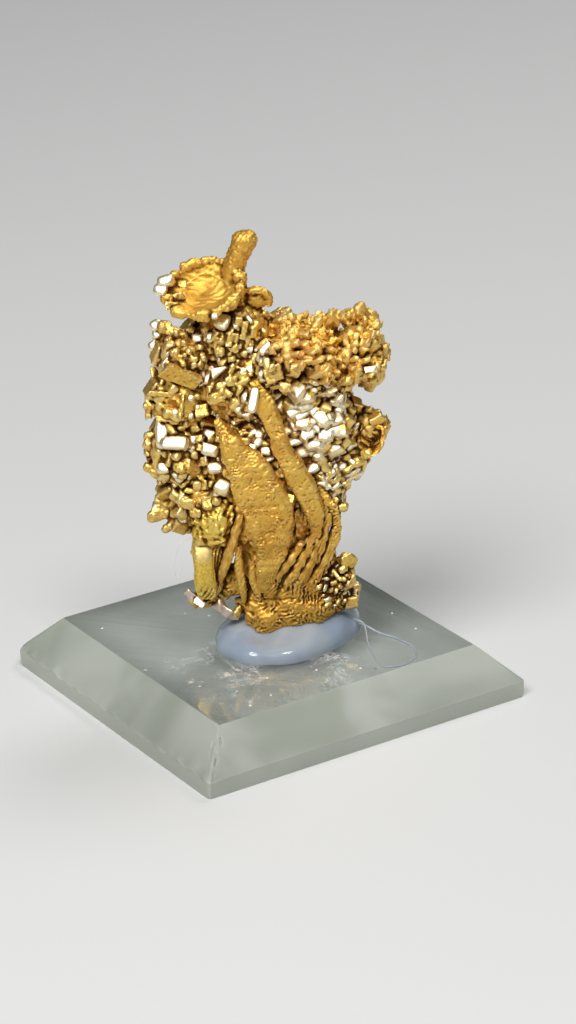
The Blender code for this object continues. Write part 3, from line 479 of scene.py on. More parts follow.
# Single forms seen on the display face, by form and kind: for each its place right and up in
# the display view, width and height there, tilt in degrees and how far it stands out
SINGLE_FORMS = [
    ("nodule", "lit", [(-11.1, 35.9, 1.4, 1.1, 12, 0.2), (-11.6, 35.0, 1.2, 1.0, -10, 0.2),
        (-12.2, 31.7, 1.1, 1.1, 35, 0.3)]),
    ("nodule", "plain", [(-11.4, 31.5, 1.2, 1.2, -10, 0.3)]),
    ("nodule", "lit", [(-11.8, 31.1, 0.9, 0.8, 10, 0.4), (-12.2, 30.8, 1.0, 0.9, 20, 0.3)]),
    ("nodule", "plain", [(-10.3, 30.8, 1.6, 1.1, -20, 0.2)]),
    ("slab", "plain", [(-9.7, 35.6, 1.6, 0.7, 5, 0.0), (-10.3, 34.2, 1.9, 0.9, 18, 0.0),
        (-10.5, 33.4, 1.3, 0.8, -10, 0.0)]),
    ("grain", "lit", [(-5.6, 31.7, 1.3, 1.5, -20, 0.3), (-6.3, 32.2, 0.6, 0.6, 10, 0.0),
        (-8.2, 30.3, 1.2, 1.0, 10, 0.2), (-6.8, 30.3, 0.8, 1.0, 5, 0.2)]),
    ("nodule", "plain", [(-6.0, 29.1, 1.0, 1.0, 0, 0.0), (-9.5, 30.6, 0.7, 0.8, 0, 0.0)]),
    ("nodule", "lit", [(-12.6, 29.7, 1.1, 1.0, 20, 0.1)]),
    ("nodule", "plain", [(-11.9, 28.4, 0.7, 0.7, 0, 0.0), (-10.4, 28.9, 0.9, 0.8, 0, 0.0),
        (-9.1, 29.0, 0.7, 0.7, 0, 0.0), (-8.7, 28.2, 1.0, 0.7, 0, 0.0),
        (-7.8, 28.3, 0.7, 0.7, 0, 0.0), (-9.5, 29.8, 0.7, 0.6, 0, 0.0),
        (-11.0, 30.1, 0.8, 0.7, 0, 0.0)]),
    ("spike", "lit", [(-6.1, 26.9, 1.6, 1.2, 26, 0.4)]),
    ("slab", "plain", [(-7.1, 27.6, 1.4, 0.8, -10, 0.0)]),
    ("slab", "dull", [(-9.9, 26.5, 3.7, 1.9, -30, 0.5)]),
    ("block", "plain", [(-12.6, 26.4, 0.7, 2.6, 3, 0.0), (-13.4, 23.9, 0.7, 2.6, 5, 0.0),
        (-11.5, 22.5, 2.6, 0.6, 0, 0.3), (-10.0, 23.6, 0.4, 2.6, 2, 0.3),
        (-11.5, 24.9, 3.4, 0.6, -6, 0.2), (-8.0, 23.2, 1.4, 1.3, 4, 0.4),
        (-6.3, 24.4, 1.2, 1.0, 20, 0.0), (-6.9, 25.3, 1.0, 0.8, -10, 0.0)]),
    ("nodule", "plain", [(-5.0, 26.0, 1.2, 0.9, 0, 0.0), (-3.9, 26.5, 1.2, 0.8, 10, 0.0),
        (-6.0, 25.5, 1.0, 0.8, 0, 0.0), (-3.2, 26.7, 0.8, 0.6, 0, 0.0)]),
    ("grain", "lit", [(-2.8, 24.1, 0.8, 2.3, -5, 0.3)]),
    ("block", "plain", [(-10.8, 22.2, 0.8, 0.6, 0, 0.0), (-4.1, 31.7, 0.8, 1.4, -15, 0.2),
        (-3.5, 30.9, 0.6, 1.7, -15, 0.3), (-4.7, 31.0, 0.6, 1.2, -20, 0.0),
        (-2.9, 29.9, 0.6, 1.4, -10, 0.0), (-5.1, 29.9, 0.6, 1.2, 8, 0.0)]),
    ("nodule", "plain", [(-2.4, 28.0, 0.9, 0.9, 0, 0.0), (-4.8, 28.2, 0.8, 0.8, 0, 0.0),
        (-3.6, 28.7, 0.7, 0.7, 0, 0.0)]),
    ("block", "plain", [(-0.7, 26.4, 1.8, 1.7, 20, 0.0)]),
    ("nodule", "plain", [(1.4, 26.8, 1.0, 1.0, 0, 0.0), (0.3, 25.1, 1.2, 0.9, 0, 0.0),
        (2.3, 25.8, 1.0, 0.8, 0, 0.0)]),
    ("slab", "plain", [(5.3, 25.4, 1.1, 0.6, -8, 0.0)]),
    ("grain", "lit", [(-12.0, 21.2, 1.3, 2.9, 2, 0.5), (-10.9, 20.1, 2.6, 1.2, 0, 0.5)]),
    ("nodule", "plain", [(-13.4, 20.9, 1.0, 0.9, 0, 0.0), (-13.6, 20.1, 0.8, 0.7, 0, 0.0),
        (-13.6, 19.3, 0.9, 0.8, 0, 0.0), (-13.0, 18.7, 0.9, 0.8, 0, 0.0),
        (-12.9, 18.0, 0.8, 0.8, 0, 0.0), (-13.7, 17.8, 0.9, 0.7, 0, 0.0),
        (-13.0, 17.2, 0.8, 0.8, 0, 0.0)]),
    ("grain", "lit", [(-12.1, 17.6, 1.1, 1.0, 10, 0.3)]),
    ("nodule", "plain", [(-12.3, 16.5, 0.9, 0.9, 0, 0.0), (-12.5, 15.6, 0.8, 0.9, 0, 0.0)]),
    ("grain", "lit", [(-12.7, 14.6, 0.8, 0.9, 0, 0.0), (-12.9, 13.7, 0.9, 1.1, -8, 0.0)]),
    ("nodule", "plain", [(-13.4, 12.9, 1.1, 1.0, 0, 0.0), (-12.1, 11.6, 0.6, 0.8, 0, 0.0)]),
    ("block", "plain", [(-8.9, 21.5, 1.0, 0.9, 30, 0.0)]),
    ("grain", "lit", [(-7.8, 21.1, 1.8, 0.9, -15, 0.0)]),
    ("block", "plain", [(-8.6, 20.4, 1.2, 0.7, 10, 0.0)]),
    ("grain", "lit", [(-7.4, 19.3, 1.8, 1.2, -10, 0.2)]),
    ("block", "plain", [(-8.5, 19.6, 0.9, 0.7, 0, 0.0), (-7.1, 20.3, 1.0, 0.6, -5, 0.0)]),
    ("tip", "plain", [(-9.6, 17.9, 1.6, 1.4, 0, 0.0)]),
    ("block", "plain", [(-8.1, 18.2, 1.2, 1.0, 20, 0.0)]),
    ("grain", "lit", [(-6.9, 17.5, 1.4, 1.0, 10, 0.0)]),
    ("nodule", "plain", [(-10.5, 17.7, 1.2, 1.1, 0, 0.0)]),
    ("grain", "plain", [(-10.7, 16.3, 0.5, 1.4, 60, 0.0), (-9.9, 16.2, 0.5, 1.4, -50, 0.0),
        (-10.3, 15.1, 0.5, 1.3, 0, 0.0), (-11.1, 15.5, 0.5, 1.0, -80, 0.0),
        (-9.5, 15.3, 0.5, 1.1, 75, 0.0)]),
    ("block", "plain", [(-8.3, 15.9, 1.5, 0.9, 5, 0.0), (-8.2, 16.8, 1.3, 0.7, 15, 0.0)]),
    ("nodule", "plain", [(-9.9, 14.1, 1.7, 1.0, 0, 0.0), (-11.3, 14.0, 1.0, 1.1, 0, 0.0)]),
    ("block", "plain", [(-7.8, 14.0, 1.0, 1.4, 10, 0.0)]),
    ("grain", "lit", [(-6.2, 15.6, 1.5, 1.3, -25, 0.3), (-6.8, 15.0, 0.7, 0.8, 15, 0.3)]),
    ("nodule", "plain", [(-11.1, 12.5, 1.5, 1.0, 0, 0.0), (-12.2, 13.1, 0.9, 0.9, 0, 0.0),
        (-9.1, 13.1, 1.2, 0.9, 0, 0.0)]),
    ("block", "plain", [(-4.2, 22.5, 1.2, 0.9, 20, 0.0), (-4.7, 21.7, 1.0, 0.8, -10, 0.0),
        (-3.4, 21.6, 0.9, 0.8, -20, 0.0), (-4.0, 20.9, 1.0, 0.8, 10, 0.0),
        (-3.0, 22.6, 0.8, 0.7, 0, 0.0)]),
    ("nodule", "lit", [(-2.4, 20.6, 0.8, 0.9, 0, 0.3)]),
    ("grain", "lit", [(-1.8, 19.0, 0.9, 0.8, 10, 0.3)]),
    ("nodule", "plain", [(-1.4, 19.9, 0.6, 0.6, 0, 0.0)]),
    ("block", "plain", [(-3.8, 20.0, 0.8, 0.7, 0, 0.0), (-0.5, 16.7, 1.1, 0.9, 25, 0.3),
        (-0.9, 17.7, 0.9, 0.8, -15, 0.0), (0.3, 15.3, 1.0, 0.8, 20, 0.0),
        (0.5, 14.2, 0.9, 0.8, -10, 0.0), (1.1, 12.7, 0.9, 0.8, 15, 0.0)]),
    ("grain", "lit", [(1.8, 18.9, 1.3, 2.0, -62, 0.3), (2.9, 19.0, 0.9, 1.3, -50, 0.2)]),
    ("block", "plain", [(4.3, 18.6, 1.4, 1.2, -20, 0.0)]),
    ("grain", "lit", [(2.4, 20.5, 0.9, 1.6, -60, 0.0), (4.2, 22.0, 1.1, 1.5, -50, 0.2),
        (2.0, 22.5, 0.8, 1.4, -55, 0.0), (2.7, 17.1, 1.0, 1.6, -60, 0.2)]),
    ("grain", "plain", [(5.1, 19.8, 0.8, 1.3, -60, 0.0)]),
    ("block", "plain", [(3.3, 16.2, 1.0, 0.9, -30, 0.0)]),
    ("nodule", "plain", [(7.4, 17.7, 1.5, 1.1, 15, 0.0), (6.2, 17.0, 1.0, 0.8, 0, 0.0),
        (8.2, 18.5, 1.0, 0.9, 0, 0.0), (6.8, 18.8, 0.8, 0.7, 0, 0.0)]),
    ("block", "plain", [(5.3, 14.9, 0.9, 0.8, 25, 0.0), (4.8, 15.8, 0.8, 0.9, -10, 0.0),
        (5.7, 14.1, 0.8, 0.7, 10, 0.0), (5.9, 13.2, 0.7, 0.7, 30, 0.0),
        (5.0, 13.9, 0.7, 0.7, -20, 0.0)]),
    ("block", "lit", [(8.7, 26.6, 1.2, 0.7, 5, 0.0)]),
    ("nodule", "plain", [(10.0, 26.9, 0.7, 0.7, 0, 0.0)]),
    ("slab", "flake", [(-9.9, 4.7, 1.5, 0.9, -42, 0.3), (-9.0, 4.0, 1.4, 0.9, -30, 0.3),
        (-6.9, 3.3, 2.2, 1.1, -34, 0.2), (-5.6, 2.5, 1.2, 0.6, -28, 0.0)]),
    ("slab", "lit", [(6.9, 4.9, 0.5, 1.5, -8, 0.2)]),
    ("disc", "dull", [(6.2, 7.8, 1.4, 1.5, 20, 0.5)]),
    ("nodule", "plain", [(5.6, 6.9, 0.8, 0.6, 30, 0.3)]),
    ("grain", "plain", [(5.0, 6.3, 0.45, 1.3, 45, 0.3)]),
    ("nodule", "plain", [(5.6, 6.0, 0.7, 0.5, -20, 0.2)]),
    ("nodule", "dull", [(4.6, 5.6, 0.8, 0.6, 10, 0.1), (5.3, 5.2, 0.6, 0.5, 0, 0.1)]),
    ("nodule", "plain", [(4.2, 4.8, 0.9, 0.6, 20, 0.1)]),
    ("block", "plain", [(6.4, 3.5, 1.5, 1.4, -4, 0.1)]),
]

# Size of the cells in which hollows are looked for, and how far round each cell is felt,
# for the painted shade in cracks and hollows
HOLLOW_CELL = 0.17
CRACK_REACH = 0.28
HOLLOW_REACH = 1.3

# Height of a pattern of pebbles at which it leaves the surface where it was
LEVEL = 0.6

# Finish of each piece, and the fold of its surface in millimetres that is a full groove,
# which gets the full painted shade
GOLD_PARTS = {
    "body": ("satin", 0.05), "bulge": ("yellow", 0.045), "arm": ("crumbly", 0.03),
    "foot": ("satin", 0.05), "crown": ("satin", 0.05), "blades": ("satin", 0.035),
    "rods": ("crumbly", 0.036), "lobe": ("satin", 0.025), "forms": ("bright", 0.035),
    "reverse": ("bright", 0.04), "fine": ("bright", 0.035),
}

# Finishes of the gold: deep and pale colour, roughness, how much smoother its lit faces are,
# and how strong its greener patches are
GOLD_FINISHES = {
    "satin": ((0.7, 0.38, 0.06), (0.92, 0.6, 0.14), 0.58, 0.0, 0.35),
    "bright": ((0.8, 0.49, 0.1), (0.98, 0.76, 0.3), 0.48, 0.04, 0.5),
    "crumbly": ((0.66, 0.34, 0.045), (0.92, 0.58, 0.115), 0.6, 0.0, 0.45),
    "yellow": ((0.84, 0.55, 0.07), (0.98, 0.76, 0.17), 0.48, 0.0, 0.9),
}
GOLD_GRAIN = 0.14

# Colours that lie over the gold's own in places: some are its own tones, and some are
# painted shade in grooves, cracks and hollows and painted highlights on ridges and lit faces
COPPERY = (0.84, 0.43, 0.05)
FLECKED = (0.55, 0.27, 0.03)
GREENER = (0.93, 0.7, 0.17)
SILVERY_TONE_AND_PAINTED_GLINT = (1.0, 0.92, 0.72)
PINKISH = (0.72, 0.56, 0.5)
PAINTED_GROOVE_SHADE = (0.3, 0.12, 0.015)
PAINTED_RIDGE_HIGHLIGHT = (0.99, 0.84, 0.45)
PAINTED_CRACK_SHADE = (0.15, 0.055, 0.008)
PAINTED_HOLLOW_SHADE = (0.13, 0.045, 0.006)

# Lamps: azimuth and elevation in degrees, size and power, how far off and how high they aim
LAMPS = {"key": (-60, 48, 0.3, 3.25), "second": (-8, 58, 0.16, 1.2), "rim": (105, 55, 0.24, 1.2)}
LAMP_DISTANCE = 0.6
LAMP_AIM = 0.022
SKY = (0.8, 0.85, 0.9)
SKY_STRENGTH = 0.1


# Shader expressions


class Number:
    """A shader value that adds its own maths nodes when it is used in an expression."""

    def __init__(self, finish, socket):
        self.finish = finish
        self.socket = socket

    def maths(self, operation, *others):
        inputs = dict(enumerate(others))
        return self.finish.node("Math", {"operation": operation}, inputs)

    def __add__(self, other):
        return self.maths("ADD", self, other)

    def __radd__(self, other):
        return self.maths("ADD", other, self)

    def __sub__(self, other):
        return self.maths("SUBTRACT", self, other)

    def __rsub__(self, other):
        return self.maths("SUBTRACT", other, self)

    def __mul__(self, other):
        return self.maths("MULTIPLY", self, other)

    def __rmul__(self, other):
        return self.maths("MULTIPLY", other, self)

    def size(self):
        return self.maths("ABSOLUTE", self)

    def ramp(self, low, high):
        """0 below low, 1 above high, and smooth between them."""
        settings = {"interpolation_type": "SMOOTHSTEP"}
        inputs = {"Value": self, "From Min": low, "From Max": high}
        return self.finish.node("MapRange", settings, inputs)


class Finish:
    """One procedural material."""

    def __init__(self, name, **constants):
        self.material = bpy.data.materials.new(name)
        self.material.use_nodes = True
        self.tree = self.material.node_tree
        self.shader = self.tree.nodes["Principled BSDF"]
        self.output = self.tree.nodes["Material Output"]
        for socket, value in constants.items():
            self.shader.inputs[socket.replace("_", " ")].default_value = value

    def node(self, kind, settings=None, inputs=None, output=0):
        node = self.tree.nodes.new("ShaderNode" + kind)
        for name, value in (settings or {}).items():
            setattr(node, name, value)
        for name, value in (inputs or {}).items():
            self.feed(node.inputs[name], value)
        return Number(self, node.outputs[output])

    def feed(self, socket, value):
        if isinstance(value, Number):
            self.tree.links.new(value.socket, socket)
        else:
            socket.default_value = value

    def set(self, name, value):
        self.feed(self.shader.inputs[name], value)

    def place(self):
        """The point's own place in the object, in millimetres."""
        where = self.node("TexCoord", output="Object")
        settings = {"operation": "SCALE"}
        return self.node("VectorMath", settings, {0: where, "Scale": 1 / MM})

    def height_of(self, where):
        return self.node("SeparateXYZ", None, {0: where}, output="Z")

    def near(self, where, middle, reach):
        """1 at a place in millimetres, falling to 0 at this distance from it."""
        away = self.node("VectorMath", {"operation": "DISTANCE"}, {0: where, 1: middle}, "Value")
        return away.ramp(reach, 0.55 * reach)

    def attribute(self, name):
        return self.node("Attribute", {"attribute_name": name}, output="Fac")

    def noise(self, where, scale, detail=2.0, roughness=0.5, warp=0.0):
        inputs = {
            "Vector": where,
            "Scale": scale,
            "Detail": detail,
            "Roughness": roughness,
            "Distortion": warp,
        }
        return self.node("TexNoise", None, inputs)

    def mixed(self, share, colour, other):
        settings = {"data_type": "RGBA", "blend_type": "MIX"}
        inputs = {"Factor": share, 6: solid(colour), 7: solid(other)}
        return self.node("Mix", settings, inputs, output=2)

    def shown(self):
        """The shader that the surface shows so far."""
        return self.output.inputs["Surface"].links[0].from_socket

    def blend(self, share, other):
        """Mixes another shader into what the surface shows."""
        so_far = self.shown()
        mix = self.tree.nodes.new("ShaderNodeMixShader")
        self.feed(mix.inputs[0], share)
        self.tree.links.new(so_far, mix.inputs[1])
        self.tree.links.new(other.outputs[0], mix.inputs[2])
        self.tree.links.new(mix.outputs[0], self.output.inputs["Surface"])

    def cover(self, name, colour, share):
        """Lays a matte layer over a share of the surface."""
        layer = self.tree.nodes.new("ShaderNodeBsdfPrincipled")
        layer.label = name
        layer.inputs["Base Color"].default_value = solid(colour)
        layer.inputs["Roughness"].default_value = 0.8
        self.blend(share, layer)

    def let_light_through(self, share, colour):
        """Lets this share of the lamps' light pass on to what is behind."""
        passing = self.tree.nodes.new("ShaderNodeBsdfTransparent")
        passing.inputs["Color"].default_value = solid(colour)
        from_lamp = self.node("LightPath", output="Is Shadow Ray")
        self.blend(from_lamp * share, passing)

    def bump(self, height, strength, distance):
        inputs = {"Height": height, "Strength": strength, "Distance": distance}
        self.set("Normal", self.node("Bump", None, inputs))


def solid(colour):
    return (*colour, 1.0) if isinstance(colour, tuple) and len(colour) == 3 else colour


# Modelling helpers


def start_afresh():
    """Leaves edit mode and selects nothing, so that the next operator acts on its own work."""
    if bpy.context.mode != "OBJECT":
        bpy.ops.object.mode_set(mode="OBJECT")
    bpy.ops.object.select_all(action="DESELECT")


def choose(*pieces):
    start_afresh()
    for piece in pieces:
        piece.select_set(True)
    bpy.context.view_layer.objects.active = pieces[0]


def named(name):
    """The piece at hand with this name, its own turn and size put into its points."""
    bpy.ops.object.transform_apply()
    piece = bpy.context.object
    piece.name = name
    piece.data.name = name
    return piece


def join(name, pieces):
    choose(*pieces)
    if len(pieces) > 1:
        bpy.ops.object.join()
    return named(name)


def apply(piece, kind, **settings):
    choose(piece)
    modifier = piece.modifiers.new(kind.lower(), kind)
    for name, value in settings.items():
        setattr(modifier, name, value)
    bpy.ops.object.modifier_apply(modifier=modifier.name)


def radians(turn):
    return [math.radians(angle) for angle in turn]


def points_of(piece):
    found = np.empty(len(piece.data.vertices) * 3)
    piece.data.vertices.foreach_get("co", found)
    return found.reshape(-1, 3)


def normals_of(piece):
    found = np.empty(len(piece.data.vertices) * 3, np.float32)
    piece.data.vertex_normals.foreach_get("vector", found)
    return found.reshape(-1, 3).astype(float)


def set_points(piece, points):
    piece.data.vertices.foreach_set("co", points.ravel())
    piece.data.update()


def push_out(piece, height):
    """Moves each point along its normal."""
    set_points(piece, points_of(piece) + normals_of(piece) * height[:, None])


def whole_numbers(items, name, each=1):
    """What the items of a mesh say under this name, such as both ends of every edge."""
    found = np.empty(len(items) * each, np.int32)
    items.foreach_get(name, found)
    return found


def unit(rows):
    """The rows, each made one long."""
    return rows / np.linalg.norm(rows, axis=1)[:, None]


def spin_of(turn, order="XYZ"):
    return np.array(Euler(radians(turn), order).to_matrix())


def mesh_from(name, points, corners, starts):
    """A piece from points, the corners of its faces one after another, and face starts."""
    mesh = bpy.data.meshes.new(name)
    mesh.vertices.add(len(points))
    mesh.vertices.foreach_set("co", points.ravel())
    mesh.loops.add(len(corners))
    mesh.loops.foreach_set("vertex_index", corners)
    mesh.polygons.add(len(starts))
    mesh.polygons.foreach_set("loop_start", starts)
    mesh.update(calc_edges=True)
    piece = bpy.data.objects.new(name, mesh)
    bpy.context.scene.collection.objects.link(piece)
    return piece


def write_attribute(piece, name, values):
    attribute = piece.data.attributes.get(name)
    if attribute is None:
        attribute = piece.data.attributes.new(name, "FLOAT", "POINT")
    attribute.data.foreach_set("value", np.asarray(values, np.float32))


def eased(value, low, high):
    """0 below low, 1 above high, and smooth between them."""
    share = np.clip((value - low) / (high - low), 0, 1)
    return share * share * (3 - 2 * share)


# Patterns for relief


class Sheet:
    """A pattern on a plane of millimetres that repeats without a seam."""

    SIDE = 1024
    WIDTH = 48.0

    def __init__(self, spacing, slope, pull, seed, rounds=12):
        """Branching worm-like ridges this far apart, running up the given slope in degrees.

        A pull of 0 lets them run any way, and 4 holds them almost straight.
        """
        steps = np.fft.fftfreq(self.SIDE, self.WIDTH / self.SIDE)
        fx, fz = np.meshgrid(steps, steps, indexing="ij")
        angle = math.radians(slope)
        along = fx * math.cos(angle) + fz * math.sin(angle)
        across = fz * math.cos(angle) - fx * math.sin(angle)
        reach = np.hypot(along, across)
        band = np.exp(-((reach * spacing - 1.0) ** 2) / 0.1)
        band *= (np.abs(across) / np.maximum(reach, 1e-9)) ** (2 * pull)
        values = np.random.default_rng(seed).normal(size=(self.SIDE, self.SIDE))
        for _ in range(rounds):
            values = np.fft.ifft2(np.fft.fft2(values) * band).real
            values = np.tanh(1.8 * values / values.std())
        blur = np.exp(-((np.hypot(along, across) * spacing * 0.45) ** 2))
        self.values = np.fft.ifft2(np.fft.fft2(values) * blur).real
        self.values /= np.abs(self.values).max()

    def at(self, x, z):
        """The pattern's height at places on its plane."""
        scale = self.SIDE / self.WIDTH
        u, v = x * scale, z * scale
        i, j = np.floor(u).astype(int), np.floor(v).astype(int)
        a, b = u - i, v - j
        near, far = i % self.SIDE, (i + 1) % self.SIDE
        below, above = j % self.SIDE, (j + 1) % self.SIDE
        low = self.values[near, below] * (1 - b) + self.values[near, above] * b
        high = self.values[far, below] * (1 - b) + self.values[far, above] * b
        return low * (1 - a) + high * a


@lru_cache
def sheet(*settings):
    """The same sheet for the same settings, made once."""
    return Sheet(*settings)


def foot_worms(points):
    """Worm-like ridges of the foot, which grow steeper upwards."""
    moved = stirred(stirred(points, 2.2, 0.22, 21), 0.9, 0.08, 25)
    across = moved[:, 0] + 0.6 * moved[:, 1]
    low = sheet(0.42, 24, 0.04, 3, 3).at(across, moved[:, 2])
    high = sheet(0.44, 60, 0.3, 13, 3).at(across, moved[:, 2])
    steep = eased(points[:, 2] + 0.4 * points[:, 0], 4.4, 6.6)
    strength = np.clip(0.8 + 0.5 * waves(points, 1.6, 24), 0.2, 1.4)
    return strength * ((1 - steep) * low + steep * high)


def scrambled(cell, salt):
    """Three even random numbers from 0 to 1 for each whole-number cell."""
    whole = cell.astype(np.int64).astype(np.uint32)
    mixed = whole[:, 0] * np.uint32(73856093)
    mixed ^= whole[:, 1] * np.uint32(19349663)
    mixed ^= whole[:, 2] * np.uint32(83492791)
    mixed ^= np.uint32(salt * 2654435761 % 2**32)
    found = []
    for _ in range(3):
        mixed = mixed * np.uint32(1664525) + np.uint32(1013904223)
        mixed ^= mixed >> np.uint32(15)
        found.append((mixed & np.uint32(0xFFFFFF)) / float(0x1000000))
    return np.stack(found, 1)


def pebbles(points, size, salt):
    """Rounded grains with cracks between them: 0 in a crack, 1 on a grain, and its shade."""
    places = points / size
    floor = np.floor(places)
    nearest = np.full(len(points), 9.0)
    second = np.full(len(points), 9.0)
    shade = np.zeros(len(points))
    for x in (-1, 0, 1):
        for y in (-1, 0, 1):
            for z in (-1, 0, 1):
                cell = floor + (x, y, z)
                chances = scrambled(cell, salt)
                distance = np.linalg.norm(cell + chances - places, axis=1)
                closer = distance < nearest
                second = np.where(closer, nearest, np.minimum(second, distance))
                shade = np.where(closer, chances[:, 0], shade)
                nearest = np.where(closer, distance, nearest)
    return np.clip((second - nearest) * 2.2, 0, 1) ** 0.55, shade


def waves(points, size, salt):
    """Smooth uneven swells from about -1 to 1."""
    chance = np.random.default_rng(salt)
    total = np.zeros(len(points))
    for _ in range(7):
        way = chance.normal(size=3)
        way *= math.tau / size / np.linalg.norm(way) * chance.uniform(0.6, 1.6)
        total += np.sin(points @ way + chance.uniform(0, math.tau))
    return total / 3.0


def stirred(points, size, reach, salt):
    """The points moved about by swells of this size, so that a pattern there is less even."""
    moves = [waves(points, size, salt + index) for index in range(3)]
    return points + reach * np.stack(moves, 1)


# Templates of crystals, modelled once at a half size of one


def worked(name, work, *settings):
    """The new primitive, shaped in edit mode."""
    bpy.ops.object.mode_set(mode="EDIT")
    work(*settings)
    bpy.ops.object.mode_set(mode="OBJECT")
    return named(name)


def from_cube(name, work, *settings):
    start_afresh()
    bpy.ops.mesh.primitive_cube_add(size=2.0)
    return worked(name, work, *settings)


def select_faces(test):
    """Selects only the faces of the piece in edit mode that pass the test."""
    bm = bmesh.from_edit_mesh(bpy.context.object.data)
    bpy.ops.mesh.select_mode(type="FACE")
    for face in bm.faces:
        face.select_set(test(face))
    bm.select_flush_mode()
    bmesh.update_edit_mesh(bpy.context.object.data)


def soften_edges(width):
    bpy.ops.mesh.select_all(action="SELECT")
    bpy.ops.mesh.bevel(offset=width, segments=1, affect="EDGES")


def terrace(way, inset, rise):
    """A step on the face that looks this way, sunk where the rise is below 0."""
    select_faces(lambda face: face.normal.dot(way) > 0.9 and face.calc_area() > 1.0)
    bpy.ops.mesh.inset(thickness=inset)
    bpy.ops.transform.translate(value=way * rise)


def step_faces(steps, width):
    for step in steps:
        terrace(*step)
    soften_edges(width)


def round_off(cuts, roundness):
    bpy.ops.mesh.select_all(action="SELECT")
    bpy.ops.mesh.subdivide(number_cuts=cuts)
    bpy.ops.transform.tosphere(value=roundness)


def draw_out():
    """A wedge that runs out to a blunt point on the right."""
    select_faces(lambda face: face.normal.x > 0.9)
    bpy.ops.transform.resize(value=(1, 0.5, 0.18), center_override=(1, 0, 0.3))
    soften_edges(0.08)


def make_templates():
    templates = {
        "block": from_cube("block", soften_edges, 0.14),
        "slab": from_cube("slab", soften_edges, 0.14),
        "stepped": from_cube("stepped", step_faces, STEPPED, 0.06),
        "hopper": from_cube("hopper", step_faces, HOPPER, 0.05),
        "spike": from_cube("spike", draw_out),
    }
    for form, (cuts, roundness) in ROUNDED.items():
        templates[form] = from_cube(form, round_off, cuts, roundness)
    start_afresh()
    bpy.ops.mesh.primitive_uv_sphere_add(segments=4, ring_count=2, radius=TIP_STRETCH)
    templates["tip"] = worked("tip", soften_edges, 0.1)
    return templates


class Crystal(NamedTuple):
    """One copy of a template: its form, middle, half sizes, turn and shade."""

    form: str
    middle: tuple
    half: tuple
    turn: Euler
    shade: float = ANY_SHADE


def shade_of(crystal, chance):
    """The crystal's own shade, or any of the darker ones."""
    return DARKER_SHADES * chance.random() if crystal.shade == ANY_SHADE else crystal.shade


def corner_weights(share):
    """For each corner of a box, its steps along the sides and its weight at places in the box."""
    for corner in range(8):
        step = np.array([corner & 1, corner >> 1 & 1, corner >> 2 & 1])
        yield step, np.prod(np.where(step == 1, share, 1 - share), axis=1)


def corner_moves(base, moves):
    """What each point of a template moves by when the corners of its box do."""
    total = np.zeros_like(base)
    for move, (_, weight) in zip(moves, corner_weights(0.5 * (base + 1.0))):
        total += weight[:, None] * move
    return total


def copies(name, templates, crystals, unevenness, seed):
    """One piece with a copy of its template for each crystal, each a little uneven."""
    chance = np.random.default_rng(seed)
    points, corners, starts, shades = [], [], [], []
    so_far = corner_count = 0
    for form in sorted(templates):
        mesh = templates[form].data
        base = points_of(templates[form])
        loops = whole_numbers(mesh.loops, "vertex_index")
        begins = whole_numbers(mesh.polygons, "loop_start")
        for crystal in crystals:
            if crystal.form != form:
                continue
            spin = np.array(crystal.turn.to_matrix())
            shape = base + corner_moves(base, chance.normal(0, unevenness, (8, 3)))
            points.append((shape * crystal.half) @ spin.T + crystal.middle)
            corners.append(loops + so_far)
            starts.append(begins + corner_count)
            shades.append(np.full(len(base), shade_of(crystal, chance)))
            so_far += len(base)
            corner_count += len(loops)
    piece = mesh_from(name, *(np.concatenate(parts) for parts in (points, corners, starts)))
    write_attribute(piece, "shade", np.concatenate(shades))
    return piece


# Bars and masses of the gold


def balls(name, places, steps=3):
    """Balls at the given middles and half sizes, in one piece."""
    start_afresh()
    for index, (middle, half_sizes) in enumerate(places):
        bpy.ops.mesh.primitive_ico_sphere_add(
            subdivisions=steps, radius=1.0, location=middle, scale=half_sizes
        )
        if index == 0:
            bpy.ops.object.mode_set(mode="EDIT")
    bpy.ops.object.mode_set(mode="OBJECT")
    return named(name)


def smooth_path(points, count):
    """Places along one smooth curve through all the points."""
    table = np.array(points, float)
    spans = len(table) - 1
    padded = np.vstack([2 * table[0] - table[1], table, 2 * table[-1] - table[-2]])
    at = np.linspace(0, spans, count)
    index = np.minimum(at.astype(int), spans - 1)
    t = (at - index)[:, None]
    a, b, c, d = (padded[index + step] for step in range(4))
    curve = 2 * b + (c - a) * t
    curve += (2 * a - 5 * b + 4 * c - d) * t**2
    curve += (3 * b - a - 3 * c + d) * t**3
    return 0.5 * curve


def sweep_rings(points, thickness, sides, rings, squareness):
    """Rings of points of a bar through points (x, y, z, half width), on one smooth path."""
    path = smooth_path(points, rings)
    ways = unit(np.gradient(path[:, :3], axis=0))
    across = unit(np.cross(ways, (0.0, 1.0, 0.0)))
    out = np.cross(across, ways)
    half_width = np.maximum(path[:, 3], 0.05)
    half_depth = half_width if thickness is None else np.minimum(half_width, thickness)
    angles = np.linspace(0, math.tau, 4001)
    wide = np.sign(np.cos(angles)) * np.abs(np.cos(angles)) ** squareness
    deep = np.sign(np.sin(angles)) * np.abs(np.sin(angles)) ** squareness
    steps = np.hypot(np.diff(wide) * half_width.max(), np.diff(deep) * half_depth.max())
    length = np.concatenate([[0.0], np.cumsum(steps)])
    even = np.linspace(0, length[-1], sides, endpoint=False)
    wide, deep = np.interp(even, length, wide), np.interp(even, length, deep)
    return (
        path[:, None, :3]
        + across[:, None] * (half_width[:, None] * wide)[:, :, None]
        + out[:, None] * (half_depth[:, None] * deep)[:, :, None]
    )


